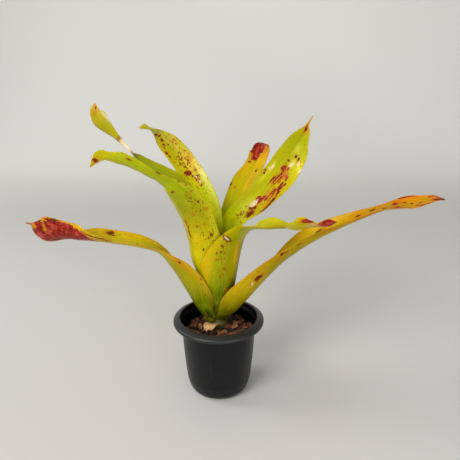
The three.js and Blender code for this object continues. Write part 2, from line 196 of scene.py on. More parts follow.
# ---- colours of the leaves, as red, green, blue from 0 to 255 ----
# Of the flushes, the palest ones on leaf_left_back, leaf_back_left and leaf_right are painted highlights.
# tones: (share of the length, colour) from the foot to the tip.
# rim: colour of both margins and how strong it is. fold, wave: depth of the fold along the middle and of the
# margins' ripple, in millimetres.
# flushes: soft patches (colour, share of the length, place across from -1 to 1, half length and half width
# in millimetres, strength). marks: sharp-edged ones, a kind and then each one's (share, place across, half
# length, half width), with its turn in degrees where it has one. They are in order, because an amber mark
# clears the crimson painted before it.
# scorch: how far its dead spots have gone from olive to dark brown.
# freckles: how many everywhere, and more in (share, across, half length, half width, how many).
LEAF_LOOKS = {
    "leaf_left_long": {
        "tones": [
            # The first, near-black tones are the sheath's dark green with painted shade of the rosette's
            # depths.
            (0, (19, 29, 0)), (0.08, (35, 53, 0)), (0.15, (76, 102, 0)), (0.22, (146, 137, 0)),
            (0.3, (151, 135, 2)), (0.42, (177, 155, 2)), (0.56, (196, 169, 2)), (0.68, (190, 163, 8)),
            (0.76, (200, 163, 20)), (0.84, (194, 122, 40)), (0.9, (184, 98, 40)), (0.96, (208, 131, 66)),
            (1, (146, 86, 40)),
        ],
        "rim": ((214, 150, 20), 0.55), "fold": 0.25, "wave": 0.7,
        "flushes": [((110, 116, 4), 0.19, 0.0, 18, 14, 0.4), ((196, 110, 16), 0.34, -0.85, 14, 3, 0.5)],
        "marks": [
            ("crimson", (0.885, -0.02, 24, 15.2), (0.755, -0.4, 14, 7.5), (0.835, -0.75, 9, 6)),
            ("amber", (0.918, -0.27, 1.4, 4.8, 33), (0.942, -0.85, 4, 2.2), (0.88, 0.98, 22, 1.5),
             (0.89, -0.99, 20, 1.3), (0.968, 0.1, 3, 3, 20), (0.65, 0.78, 4.6, 2.8), (0.34, -0.86, 4, 1.8),
             (0.56, 0.75, 1.8, 1), (0.67, -0.7, 8, 1.2)),
            ("brown", (0.885, -0.9, 5, 1.3), (0.952, -0.7, 1.6, 1.2), (0.86, 0.55, 4, 1, 15),
             (0.8, -0.35, 4, 0.8, 10), (0.643, 0.76, 3, 2.2), (0.632, 0.6, 1.5, 0.9),
             (0.33, -0.8, 1.4, 0.8, 20), (0.18, -0.75, 1.1, 0.7), (0.23, -0.92, 1.2, 0.6),
             (0.52, 0.1, 1.5, 0.6, 20), (0.69, -0.84, 11, 0.7), (0.645, -0.8, 5, 0.6)),
        ],
        "scorch": 0.8, "freckles": 0.14, "clusters": [(0.6, 0.5, 30, 8, 0.35)],
    },
    "leaf_right_long": {
        "tones": [
            # The first, near-black tones are the sheath's dark green with painted shade of the rosette's
            # depths.
            (0, (29, 30, 2)), (0.06, (82, 77, 2)), (0.12, (151, 129, 2)), (0.2, (178, 147, 2)),
            (0.3, (169, 135, 2)), (0.42, (161, 133, 2)), (0.5, (204, 168, 2)), (0.6, (186, 149, 2)),
            (0.66, (186, 135, 2)), (0.72, (184, 119, 2)), (0.77, (184, 113, 6)), (0.8, (180, 121, 44)),
            (0.83, (174, 99, 4)), (0.89, (202, 131, 2)), (0.93, (200, 117, 6)), (0.97, (192, 89, 26)),
            (1, (118, 50, 24)),
        ],
        "rim": ((206, 124, 14), 0.45), "fold": 0.25, "wave": 0.4,
        "flushes": [
            ((148, 126, 2), 0.44, 0.75, 38, 7, 0.75), ((236, 190, 6), 0.52, -0.6, 26, 8, 0.8),
            ((226, 104, 14), 0.89, -0.8, 14, 3, 0.8),
        ],
        "marks": [
            ("amber", (0.226, 0.54, 0.9, 2.8, -30), (0.41, 0.86, 7, 1.6), (0.482, 0.92, 1.8, 0.8)),
            ("crimson", (0.575, 0.92, 2.6, 0.9), (0.6, 0.92, 2.8, 0.8)),
            ("amber", (0.59, 0.9, 8, 1.8), (0.7, -0.4, 7, 1.6), (0.56, -0.5, 7, 1.8)),
            ("crimson", (0.832, -0.48, 2.2, 1.9), (0.833, 0.15, 2.2, 1.8), (0.885, -0.93, 13, 0.9),
             (0.912, 0.1, 1.4, 0.8), (0.925, 0.85, 6, 1.3), (0.84, 0.8, 3, 0.9), (0.972, 0.6, 5, 1.3),
             (0.955, -0.6, 2.4, 0.9)),
            ("brown", (0.268, 0.52, 4.2, 1.9, -10), (0.253, 0.44, 1.8, 0.8), (0.42, 0.85, 2.8, 0.6, 14),
             (0.405, 0.9, 2.4, 0.6, -10), (0.395, 0.84, 1.2, 0.6), (0.476, 0.84, 2.4, 0.6),
             (0.735, -0.1, 4.4, 0.8), (0.75, -0.55, 2.8, 0.9), (0.695, -0.45, 2.6, 0.7),
             (0.79, -0.2, 1.8, 0.7), (0.545, -0.5, 3, 0.7), (0.862, -0.3, 1.5, 0.7), (0.885, 0, 1.3, 0.7),
             (0.9, 0.42, 1.6, 0.8), (0.992, 0.3, 2.6, 1.4)),
            ("pale", (0.232, 0.5, 0.7, 3.2, -40)),
        ],
        "scorch": 0.9, "freckles": 0.1, "clusters": [(0.41, 0.85, 14, 4, 0.5), (0.88, 0, 20, 6, 0.25)],
    },
    "leaf_front": {
        "tones": [
            # The first, near-black tones are the sheath's dark green with painted shade of the rosette's
            # depths.
            (0, (20, 25, 0)), (0.08, (42, 52, 0)), (0.14, (68, 82, 0)), (0.2, (108, 124, 2)),
            (0.26, (138, 142, 0)), (0.34, (162, 154, 0)), (0.44, (160, 150, 0)), (0.52, (182, 179, 2)),
            (0.62, (172, 171, 4)), (0.7, (178, 175, 4)), (0.8, (170, 157, 2)), (0.86, (164, 138, 6)),
            (0.89, (176, 146, 96)), (0.92, (170, 103, 66)), (0.97, (150, 62, 50)), (1, (176, 115, 30)),
        ],
        "rim": ((220, 178, 2), 0.55), "fold": 0.2, "wave": 0.5,
        "flushes": [
            ((204, 166, 2), 0.38, 0.9, 36, 5, 0.9), ((232, 190, 6), 0.38, -0.15, 22, 4, 0.8),
            ((136, 144, 2), 0.36, 0.35, 26, 5, 0.35), ((88, 110, 0), 0.17, 0.2, 10, 14, 0.5),
            ((194, 186, 6), 0.66, -0.8, 26, 4, 0.5),
        ],
        "marks": [
            ("amber", (0.19, 0.1, 2.6, 1.8), (0.86, -0.6, 7, 1.8)),
            ("crimson", (0.862, -0.6, 5, 1), (0.878, -0.9, 6, 1.8), (0.955, -0.25, 8, 6)),
            ("brown", (0.478, 0.66, 2.3, 5.2, -25), (0.438, 0.6, 0.9, 1.3), (0.43, 0.52, 0.7, 0.9),
             (0.411, 0.5, 0.8, 1.3), (0.408, 0.38, 0.7, 0.9), (0.402, 0.66, 1.1, 0.8), (0.37, 0.58, 1, 0.6),
             (0.372, 0.52, 0.8, 0.6), (0.322, 0.25, 1.1, 0.9), (0.312, 0.18, 0.8, 0.6),
             (0.275, 0.33, 0.9, 0.7), (0.285, 0.24, 0.8, 0.6), (0.203, 0.08, 1, 0.7),
             (0.19, 0.17, 1.1, 0.8), (0.183, 0.02, 1, 0.6), (0.335, -0.24, 1.3, 0.7)),
            ("pale", (0.48, 0.68, 0.9, 3.4, -25)),
        ],
        "scorch": 0.2, "freckles": 0.14, "clusters": [(0.36, 0.35, 24, 5, 0.5), (0.19, 0.1, 8, 5, 0.5)],
    },
    "leaf_left_front": {
        "tones": [
            (0, (75, 92, 4)), (0.1, (121, 128, 4)), (0.2, (162, 158, 2)), (0.3, (188, 181, 0)),
            (0.38, (186, 172, 0)), (0.46, (170, 160, 0)), (0.54, (166, 160, 0)), (0.62, (160, 170, 2)),
            (0.68, (174, 187, 2)), (0.74, (166, 178, 2)), (0.8, (178, 187, 2)), (0.86, (166, 176, 4)),
            (0.92, (208, 202, 10)), (0.96, (242, 210, 14)), (1, (242, 189, 50)),
        ],
        "rim": ((212, 204, 34), 0.6), "fold": 0.2, "wave": 0.5,
        "flushes": [
            ((206, 176, 8), 0.38, 0.0, 20, 8, 0.5), ((140, 152, 0), 0.6, 0.3, 24, 9, 0.35),
            ((120, 136, 0), 0.74, -0.95, 20, 4, 0.6), ((218, 196, 10), 0.32, 0.1, 20, 2.4, 0.6),
        ],
        "marks": [
            ("amber", (0.456, -0.18, 1.4, 3), (0.462, -0.5, 0.9, 1.6), (0.532, -0.82, 2, 1.8),
             (0.519, -0.17, 1.4, 2), (0.612, -0.6, 1, 1.4), (0.65, 0.12, 1.4, 2.8), (0.344, 0.22, 1, 0.8),
             (0.43, 0.33, 12, 1.4), (0.853, -0.58, 2.8, 1.2)),
            ("crimson", (0.968, -0.2, 1.5, 3.6, 10)),
            ("brown", (0.454, -0.2, 0.6, 1.2), (0.411, -0.68, 1.7, 1.4), (0.398, -0.54, 1, 0.9),
             (0.571, -0.66, 1, 1.2), (0.613, -0.36, 0.7, 1.2), (0.625, -0.52, 0.5, 0.7),
             (0.652, 0.18, 0.9, 1.8), (0.551, -0.25, 0.6, 0.8), (0.534, -0.56, 0.7, 0.6),
             (0.344, -0.24, 1.5, 0.8, -30), (0.46, 0.36, 3.0, 1.1), (0.44, 0.3, 1.8, 0.8),
             (0.412, 0.34, 3.2, 1.1), (0.398, 0.26, 2, 0.7), (0.852, -0.58, 2, 0.7),
             (0.745, -0.95, 2.2, 0.6)),
        ],
        "scorch": 0.15, "freckles": 0.22,
        "clusters": [(0.55, -0.4, 30, 12, 0.55), (0.42, -0.5, 12, 8, 0.6)],
    },
    "leaf_left_back": {
        "tones": [
            (0, (112, 126, 4)), (0.3, (143, 147, 2)), (0.5, (153, 153, 2)), (0.66, (149, 162, 2)),
            (0.73, (175, 181, 4)), (0.755, (122, 84, 20)), (0.77, (236, 212, 186)), (0.79, (250, 232, 212)),
            (0.815, (232, 200, 162)), (0.828, (122, 69, 22)), (0.84, (167, 158, 6)), (0.9, (153, 147, 2)),
            (0.95, (182, 158, 12)), (0.98, (210, 158, 54)), (1, (194, 126, 50)),
        ],
        "rim": ((176, 150, 6), 0.3), "fold": 0.3, "wave": 0.4,
        "flushes": [
            # The first patch, pale along the tip's margin, is a painted highlight.
            ((236, 214, 160), 0.92, -0.9, 17, 2, 0.95), ((130, 100, 6), 0.962, 0.1, 5, 3.6, 0.8),
            ((120, 96, 10), 0.9, 0.92, 10, 1.6, 0.5),
        ],
        "marks": [
            ("amber", (0.965, 0.05, 2, 1.6)),
            ("brown", (0.985, -0.4, 1.2, 0.8)),
        ],
        "scorch": 0.5, "freckles": 0.1, "clusters": [(0.9, 0.0, 10, 6, 0.25)],
    },
    "leaf_back": {
        "tones": [
            (0, (96, 126, 4)), (0.4, (120, 141, 4)), (0.52, (170, 178, 2)), (0.6, (186, 178, 2)),
            (0.68, (192, 174, 2)), (0.76, (196, 166, 4)), (0.84, (210, 170, 8)), (0.9, (216, 145, 14)),
            (0.95, (180, 52, 30)), (1, (190, 63, 50)),
        ],
        "rim": ((186, 130, 6), 0.35), "fold": 0.4, "wave": 0.5,
        "flushes": [((196, 126, 6), 0.72, 0.3, 14, 2.4, 0.6)],
        "marks": [
            ("crimson", (0.965, -0.05, 10, 11.5), (0.905, -0.48, 9, 5.4)),
            ("amber", (0.885, -0.8, 4, 1.6), (0.925, 0.5, 4, 1.4, 20), (0.66, -0.58, 1.8, 1.6),
             (0.62, 0.36, 7, 0.8)),
            ("brown", (0.838, -0.66, 1.3, 1.5), (0.792, 0.33, 1.4, 1.3), (0.668, -0.96, 3, 0.8)),
        ],
        "scorch": 0.5, "freckles": 0.1, "clusters": [(0.86, -0.2, 8, 6, 0.4)],
    },
    "leaf_right": {
        "tones": [
            (0, (110, 130, 2)), (0.3, (140, 154, 4)), (0.42, (196, 206, 4)), (0.5, (164, 165, 2)),
            (0.6, (172, 171, 2)), (0.7, (180, 173, 4)), (0.78, (166, 165, 2)), (0.86, (154, 159, 0)),
            (0.91, (164, 159, 4)), (0.935, (190, 144, 20)), (0.96, (206, 142, 40)), (1, (204, 148, 66)),
        ],
        "rim": ((200, 176, 6), 0.35), "fold": 1.1, "wave": 0.4,
        "flushes": [
            ((198, 200, 8), 0.5, -0.35, 20, 4, 0.5), ((198, 140, 6), 0.6, 0.52, 20, 5, 0.6),
            ((210, 165, 14), 0.69, 0.05, 12, 4, 0.5), ((206, 192, 14), 0.74, 0.75, 10, 6, 0.6),
            # The six pale yellow patches on this line and the next two are painted highlights.
            ((232, 222, 90), 0.705, -0.7, 6, 1.6, 0.8), ((236, 226, 110), 0.758, 0.25, 5, 2.5, 0.75),
            ((230, 215, 60), 0.762, 0.75, 6, 2.6, 0.8), ((236, 226, 110), 0.522, -0.08, 5, 1.6, 0.7),
            ((218, 218, 30), 0.632, -0.67, 6, 1.6, 0.6), ((200, 200, 60), 0.832, 0.17, 6, 3, 0.6),
            ((150, 162, 0), 0.6, 0.06, 16, 1.2, 0.7),
        ],
        "marks": [
            ("amber", (0.7, 0.14, 8, 3.4), (0.665, -0.05, 7, 2.6), (0.585, 0.2, 8, 2.6),
             (0.625, 0.5, 8, 2.8)),
            ("crimson", (0.655, -0.18, 7, 0.5), (0.67, 0.1, 4, 0.45), (0.735, 0.17, 3.4, 0.8),
             (0.6, 0.34, 5, 0.6, -5), (0.64, 0.6, 6, 0.6, -8), (0.56, 0.12, 4, 1.4), (0.729, -0.08, 3, 2.2),
             (0.712, 0.04, 6, 0.65), (0.676, -0.05, 6.4, 0.6), (0.692, 0.17, 5, 0.55),
             (0.703, 0.32, 2.6, 0.8), (0.695, 0.46, 2.8, 0.9), (0.66, -0.22, 3.4, 0.55),
             (0.65, 0.09, 4.2, 0.5), (0.548, 0, 4.2, 3.2), (0.572, 0.34, 2.5, 1.4),
             (0.598, 0.5, 3.8, 1.1, -15), (0.619, 0.42, 3.8, 1.1, -15), (0.646, 0.5, 4.6, 1.3, -20),
             (0.668, 0.6, 1.9, 1.1), (0.478, 0.42, 5.2, 3.4, -15), (0.509, 0.17, 2.9, 1.7)),
            ("amber", (0.555, 0.64, 6, 1.4), (0.775, 0.6, 2.6, 2), (0.93, 0.1, 4.6, 2.4)),
            ("brown", (0.62, 0.7, 5, 0.6, -6), (0.57, 0.8, 5, 0.6, -6), (0.65, 0.52, 2.8, 1.2, -20),
             (0.667, 0.44, 2, 1.4), (0.478, 0.42, 3.8, 2.4, -15), (0.497, 0, 2.1, 2.1),
             (0.556, 0.86, 9.5, 1.3), (0.58, 0.78, 4, 0.9), (0.768, -0.08, 1.2, 1.1),
             (0.797, 0.25, 1.7, 1.1), (0.79, 0.5, 1.4, 1.1), (0.665, -0.86, 1.6, 0.8),
             (0.652, -0.8, 1.6, 0.8), (0.93, 0.1, 3, 1.1)),
            # These pale marks are painted highlights.
            ("pale", (0.755, 0.22, 2.8, 1.5, 30), (0.703, -0.66, 2.7, 1.2), (0.688, -0.76, 1.4, 1.2),
             (0.522, -0.12, 5, 1.7), (0.772, 0.62, 2, 1.4), (0.745, 0.93, 2.3, 1)),
        ],
        "scorch": 0.9, "freckles": 0.18,
        "clusters": [(0.45, 0.1, 13, 8, 0.9), (0.57, 0.5, 15, 5, 0.8), (0.67, 0.2, 13, 6, 0.7)],
    },
    "leaf_back_left": {
        "tones": [
            (0, (124, 144, 4)), (0.3, (154, 170, 4)), (0.42, (212, 220, 4)), (0.5, (198, 204, 4)),
            (0.58, (198, 197, 8)), (0.66, (192, 178, 4)), (0.74, (173, 161, 2)), (0.82, (157, 144, 4)),
            (0.865, (150, 142, 14)), (0.885, (115, 102, 40)), (0.91, (128, 119, 66)),
            (0.935, (144, 144, 60)), (0.965, (154, 140, 10)), (1, (175, 148, 16)),
        ],
        "rim": ((206, 190, 16), 0.3), "fold": 0.3, "wave": 0.5,
        "flushes": [
            # The first patch, pale yellow along the right margin, is a painted highlight.
            ((232, 230, 140), 0.58, 0.78, 26, 3.2, 0.9), ((214, 216, 30), 0.46, 0.5, 20, 4, 0.6),
            ((206, 150, 6), 0.68, 0.5, 12, 5, 0.6),
        ],
        "marks": [
            ("amber", (0.804, 0.5, 2.2, 2.6), (0.688, 0.5, 3.6, 2.6), (0.705, 0.75, 2.4, 1.6)),
            ("crimson", (0.635, -0.26, 2.8, 4.0, 20), (0.632, -0.1, 1, 0.8)),
            ("amber", (0.629, 0.4, 2.6, 1.8), (0.585, 0.2, 4.5, 1.8)),
            ("crimson", (0.59, 0.06, 1, 0.7), (0.557, 0.17, 1.2, 0.9)),
            ("brown", (0.845, -0.25, 2.2, 1.1), (0.822, -0.44, 1.6, 0.9), (0.806, -0.58, 1, 0.7),
             (0.775, -0.75, 2.2, 1), (0.75, -0.74, 1.8, 0.9), (0.806, 0.56, 0.8, 0.8),
             (0.692, -0.33, 1, 0.9), (0.672, 0.16, 1.1, 0.8), (0.684, 0.4, 0.8, 0.7),
             (0.635, -0.26, 1.6, 2.4, 20), (0.645, -0.44, 1, 0.9), (0.63, 0.44, 0.8, 0.6),
             (0.886, -0.4, 1.6, 1.8), (0.87, -0.1, 1, 1.6)),
            ("pale", (0.602, 0.16, 1.2, 0.7), (0.573, 0.26, 1.6, 0.7)),
        ],
        "scorch": 0.8, "freckles": 0.25,
        "clusters": [(0.69, 0.2, 30, 9, 0.9), (0.6, 0.1, 12, 6, 0.9), (0.83, -0.2, 14, 7, 0.7)],
    },
    "leaf_young_outer": {
        "tones": [(0, (120, 148, 30)), (0.6, (152, 172, 48)), (1, (170, 150, 60))],
        "rim": ((180, 176, 60), 0.3), "fold": 0.1, "wave": 0.0,
        "flushes": [], "marks": [], "scorch": 0.3, "freckles": 0.05, "clusters": [],
    },
    "leaf_young_inner": {
        "tones": [(0, (132, 160, 40)), (0.6, (170, 188, 70)), (1, (180, 150, 70))],
        "rim": ((190, 186, 70), 0.3), "fold": 0.1, "wave": 0.0,
        "flushes": [], "marks": [], "scorch": 0.3, "freckles": 0.05, "clusters": [],
    },
}
# pale marks are scars and dry tissue, and on leaf_right painted highlights.
MARK_KINDS = {"brown": 0, "crimson": 1, "pale": 2, "amber": 3}

# Unevenness of a blade, in millimetres: it comes in over "grows" past the sheath and goes over "fades" before
# the tip. The margins ripple in patches "long" and "short", and the surface rolls by "roll" in "broad" ones.
RIPPLE = {"grows": 26, "fades": 14, "long": 11, "short": 5, "broad": 13, "roll": 0.22}
MIDRIB_SHARE = 0.16  # half width of the fold along a blade's middle, as a share of the blade's

LEAST_HALF_WIDTH = 0.22  # of a blade, in millimetres, so that its tip stays a body
NARROW_BLADE = {"half_width": 8, "columns": 24}  # a blade no wider than this has so few facets across
SPINES = {"start": 6, "lean": 0.7}  # they begin this far past the sheath, and lean towards the tip

# ---- profiles of the pot, the mix and the stem: (radius, height) in millimetres ----
POT_PROFILE = [
    (0, 0), (24, 0), (24.3, 1.2), (26.4, 1.6), (28.2, 3.6), (29.6, 7), (31.3, 14), (32.5, 25), (33.6, 38),
    (34.6, 52), (35.2, 70.4), (35.9, 73), (37.4, 75.2), (41.5, 73.8), (42.7, 71.9), (43.4, 71.9),
    (43.6, 73.4), (43.0, 74.9), (39.4, 77.0), (38, 77.4), (36.9, 76.8), (36.4, 75), (35.8, 73.4),
    (33.8, 70.4), (33.2, 52), (32.2, 38), (31.1, 25), (29.9, 14), (28.2, 7), (26.8, 3.6), (25.6, 2), (0, 2),
]
MIX_PROFILE = [
    (0, 2.3), (25.2, 2.3), (26.5, 3.6), (27.9, 7), (29.6, 14), (30.8, 25), (31.9, 38), (32.9, 52),
    (33.2, 59), (31, 60.4), (27, 61.4), (23, 61.6), (19, 61), (15, 60.4), (11, 60.4), (7, 60.4), (3, 60.4),
    (0, 60.4),
]
STEM_PROFILE = [
    (0, 45), (7.1, 46), (10.2, 50), (10.2, 56), (10.2, 61), (9.9, 61.6), (10.2, 62.2), (10.2, 64.2),
    (9.8, 64.8), (10.1, 65.4), (9.9, 67), (8.2, 71), (8.0, 71.6), (7.6, 72.2), (5.9, 76), (5.6, 76.5),
    (5.2, 77.2), (3.3, 82), (1.6, 87), (0, 88),
]
BED_SIDES = 96  # facets round the mix
STEM_SIDES = 48  # facets round the stem
DRILL_DEPTH = 12  # of the drain holes' cutters, in millimetres, longer than the pot's base is thick

# The pot's painted light and shade, in metres: the heights over which its lip gets lighter, as painted light
# on its upward face; and, for the painted shade inside it, two heights of its wall with the radius within
# which it is dark at each, and the height from which its inside is dark.
POT_PAINTED_LIGHT_AND_SHADE = {"lip": (0.0705, 0.0722), "wall": (0.0700, 0.0765, 0.0343, 0.0372), "inside": 0.054}

# ---- the mix and the dry leaf base, in millimetres ----
CHIP_REACH = 33.1  # how far the loose chips reach from the pot's axis
# The loose chips are strewn over an uneven ring: its inner and outer radius, mean height and net of facets.
CHIP_FIELD = {"inner": 4, "outer": 32.6, "height": 61.7, "rings": 12, "around": 72}
DRY_BASE = {"place": (-8, -8), "row_step": 0.35, "columns": 44}  # no loose chips lie round its place

SLAB_FACETS = (44, 18)  # along and across a large chip
# Large chips: length, width, thickness, place, turn, tilt and roll in degrees, seed.
SLABS = [
    (31, 11, 4.6, (12.5, -16.0, 65.4), 20, -2, -27, 31),
    (15, 6.5, 3.2, (-21, -14, 64.2), -28, 8, 12, 47),
    (14, 6.0, 3.0, (19, 8, 63.6), 35, -10, -14, 53),
    (12, 5.0, 2.6, (-24, 4, 63.6), 62, 6, 10, 59),
]

# ---- the stage, in metres ----
# The backdrop's floor runs from "front" to "bend" and turns up, round "radius", into a wall as high as "top".
SWEEP = {"front": -1.6, "bend": 1.0, "radius": 0.5, "top": 2.6, "half_width": 3.0, "steps": 12}
# Painted light: how bright its colour is on the floor's left and right, and on the wall's lower left and upper
# right.
BACKDROP_PAINTED_LIGHT = (0.86, 1.10, 1.38, 1.52)

# Soft square lights: name, place, target, side, the setting that holds the power, tint.
LIGHTS = [
    ("key light", (-0.85, -1.05, 1.00), (0, 0, 0.12), 0.8, "key", (1.0, 0.985, 0.96)),
    ("side light", (-1.15, 0.20, 0.85), (0, 0, 0.06), 0.6, "side", (1.0, 0.99, 0.97)),
    ("fill light", (0.7, -1.4, 0.35), (0, 0, 0.12), 1.0, "fill", (0.96, 0.98, 1.0)),
]


# ---- settings ----

def colour_setting(name, description, default):
    """A colour among the settings."""
    return FloatVectorProperty(name=name, description=description, default=default, size=3,
                               subtype="COLOR", min=0, max=1)


class PotSettings(bpy.types.PropertyGroup):
    sides: IntProperty(name="Sides", description="Facets round the pot", default=128, min=24, max=256)
    holes: IntProperty(name="Drain holes", description="Holes in the pot's base", default=4, min=1, max=12)
    hole_radius: FloatProperty(name="Hole radius", description="Radius of a drain hole",
                               default=3.5 * MM, min=0.001, unit="LENGTH")
    hole_ring: FloatProperty(name="Hole ring", description="Distance of the drain holes from the axis",
                             default=14 * MM, min=0.004, unit="LENGTH")
    colour: colour_setting("Plastic", "Colour of the pot's plastic", (0.0018, 0.0023, 0.0034))


class MixSettings(bpy.types.PropertyGroup):
    spacing: FloatProperty(name="Chip spacing", description="Least distance between two bark chips",
                           default=3.6 * MM, min=0.001, unit="LENGTH")
    chip: FloatProperty(name="Chip length", description="Length of a middling bark chip",
                        default=7.5 * MM, min=0.001, unit="LENGTH")
    seed: IntProperty(name="Seed", description="Order of the scattered chips", default=7, min=0)
    dark: colour_setting("Dark bark", "Colour of the darkest bark", (0.007, 0.003, 0.002))
    red: colour_setting("Red bark", "Colour of freshly broken bark", (0.150, 0.036, 0.010))
    tan: colour_setting("Tan bark", "Colour of the driest bark", (0.340, 0.150, 0.060))


class LeafSettings(bpy.types.PropertyGroup):
    thickness: FloatProperty(name="Thickness", description="Thickness of a blade at its middle",
                             default=0.8 * MM, min=0.0002, unit="LENGTH")
    rim_thickness: FloatProperty(name="Margin thickness", description="Thickness of a blade at its margins",
                                 default=0.26 * MM, min=0.0001, unit="LENGTH")
    row_step: FloatProperty(name="Row step", description="Length of a blade between two rows of facets",
                            default=0.9 * MM, min=0.0005, unit="LENGTH")
    columns: IntProperty(name="Columns", description="Facets across a blade", default=60, min=8, max=80)
    spine: FloatProperty(name="Spine length", description="Length of a marginal spine",
                         default=0.9 * MM, min=0.0002, unit="LENGTH")
    spine_step: FloatProperty(name="Spine step", description="Distance between two marginal spines",
                              default=3.4 * MM, min=0.001, unit="LENGTH")
    brown: colour_setting("Scorch", "Colour of dead spots", (0.165, 0.024, 0.004))
    stain: colour_setting("Stain", "Colour of dead spots that have only just begun", (0.150, 0.100, 0.002))
    crimson: colour_setting("Crimson", "Colour of the red flushes", (0.310, 0.008, 0.014))
    # This colour also serves as painted highlight on leaf_right's pale marks.
    pale: colour_setting("Scar and highlight", "Colour of scars and dry tissue", (0.780, 0.640, 0.380))
    amber: colour_setting("Amber", "Colour of the yellowed skin round the dead spots",
                          (0.500, 0.195, 0.004))


class StageSettings(bpy.types.PropertyGroup):
    camera_place: FloatVectorProperty(name="Camera", description="Place of the camera", size=3,
                                      default=(0.011, -0.380, 0.283), subtype="TRANSLATION", unit="LENGTH")
    camera_tilt: FloatProperty(name="Tilt", description="How far the camera looks down",
                               default=math.radians(17.5), subtype="ANGLE", unit="ROTATION")
    lens: FloatProperty(name="Lens", description="Focal length in millimetres", default=34.43, min=10)
    backdrop: colour_setting("Backdrop", "Colour of the seamless backdrop", (0.605, 0.60, 0.575))
    key: FloatProperty(name="Key light", description="Power of the key light in watts", default=18.0, min=0)
    fill: FloatProperty(name="Fill light", description="Power of the fill light in watts", default=8.5, min=0)
    side: FloatProperty(name="Side light", description="Power of the light from the left in watts",
                        default=7.0, min=0)
    sky: FloatProperty(name="Ambient", description="Strength of the even light", default=0.38, min=0)


# ---- small tools ----

def colour_of(red_green_blue):
    """A colour from 0 to 255 as the linear values that a shader reads."""
    share = np.asarray(red_green_blue, float) / 255
    return np.where(share <= 0.04045, share / 12.92, ((share + 0.055) / 1.055) ** 2.4)


def unit(vectors):
    """Vectors scaled to length one."""
    return vectors / np.maximum(np.linalg.norm(vectors, axis=-1, keepdims=True), 1e-12)


def ease(low, high, value):
    """Rises smoothly from 0 at low to 1 at high."""
    share = np.clip((value - low) / (high - low), 0, 1)
    return share * share * (3 - 2 * share)


def patches(x, y, size, seed):
    """Smooth random values between -1 and 1 over a plane, in patches of about the given size."""
    rows, columns = 61, 67
    lattice = np.random.default_rng(seed).uniform(-1, 1, (rows, columns))
    x, y = np.asarray(x, float) / size + 7.3, np.asarray(y, float) / size + 11.9
    i, j = np.floor(x).astype(int), np.floor(y).astype(int)
    u, v = ease(0, 1, x - i), ease(0, 1, y - j)

    def corner(a, b):
        return lattice[(i + a) % rows, (j + b) % columns]

    return ((corner(0, 0) * (1 - u) + corner(1, 0) * u) * (1 - v)
            + (corner(0, 1) * (1 - u) + corner(1, 1) * u) * v)


def spline(values, t):
    """A smooth curve through evenly spaced values, read at t from 0 to their number less one."""
    values = np.asarray(values, float)
    last = len(values) - 1
    i = np.minimum(np.floor(t).astype(int), last - 1)
    f = (t - i).reshape(-1, *([1] * (values.ndim - 1)))
    a, b, c, d = (values[np.clip(i + k, 0, last)] for k in (-1, 0, 1, 2))
    return b + 0.5 * f * (c - a + f * (2 * a - 5 * b + 4 * c - d + f * (3 * (b - c) + d - a)))


def points_of(mesh):
    """A mesh's points, one row each."""
    points = np.zeros(len(mesh.vertices) * 3)
    mesh.vertices.foreach_get("co", points)
    return points.reshape(-1, 3)


def move_points(mesh, points):
    """Puts a mesh's points at new places."""
    mesh.vertices.foreach_set("co", points.ravel())
    mesh.update()


def need_outward(made):
    """Stops the script where a closed mesh's faces point inwards, by its signed volume."""
    mesh = made.data
    mesh.calc_loop_triangles()
    corners = np.zeros(len(mesh.loop_triangles) * 3, int)
    mesh.loop_triangles.foreach_get("vertices", corners)
    a, b, c = points_of(mesh)[corners.reshape(-1, 3)].transpose(1, 0, 2)
    if np.einsum("ij,ij->i", a, np.cross(b, c)).sum() <= 0:
        raise RuntimeError(made.name + " is inside out")


def smooth_all(mesh):
    """Shades all of a mesh smoothly."""
    mesh.polygons.foreach_set("use_smooth", np.ones(len(mesh.polygons), bool))


def show(name, data):
    """Puts an object with the given data into the scene."""
    made = bpy.data.objects.new(name, data)
    bpy.context.scene.collection.objects.link(made)
    return made


def new_object(name, points, faces, material):
    """A smooth-shaded mesh object from points in metres."""
    mesh = bpy.data.meshes.new(name)
    mesh.from_pydata(np.asarray(points).tolist(), [], faces)
    mesh.materials.append(material)
    smooth_all(mesh)
    return show(name, mesh)


def settle(made, name):
    """Turns an object's modifiers into plain mesh and removes them."""
    bpy.context.view_layer.update()
    depsgraph = bpy.context.evaluated_depsgraph_get()
    mesh = bpy.data.meshes.new_from_object(made.evaluated_get(depsgraph), preserve_all_data_layers=True,
                                           depsgraph=depsgraph)
    made.modifiers.clear()
    rough = made.data
    made.data = mesh
    bpy.data.meshes.remove(rough)
    made.name = mesh.name = name
    return made


def finish(made, slot, *nodes):
    """Attaches a finished piece to its body and hides the CAD nodes that it stands for; its slot is not used.

    The few points of a margin or a spine that would pass the solids' box are pressed into it first.
    """
    move_points(made.data, np.clip(points_of(made.data), *CAD_BOX))
    if nodes:
        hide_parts(*nodes)
    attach(made, BODY)


# ---- building node trees ----

def feed(tree, node, inputs):
    """Sets a node's inputs: each to a number, a colour or another node's output."""
    for key, value in inputs.items():
        if isinstance(value, bpy.types.NodeSocket):
            tree.links.new(value, node.inputs[key])
        else:
            node.inputs[key].default_value = value


def add(tree, kind, inputs=None, **settings):
    """Adds a node with its settings and inputs."""
    made = tree.nodes.new(kind)
    made.location = (220 * (len(tree.nodes) % 12), -260 * (len(tree.nodes) // 12))
    for key, value in settings.items():
        setattr(made, key, value)
    feed(tree, made, inputs or {})
    return made


def maths(tree, operation, a, b=0.0, c=0.0):
    """One step of arithmetic."""
    return add(tree, "ShaderNodeMath", {0: a, 1: b, 2: c}, operation=operation).outputs[0]


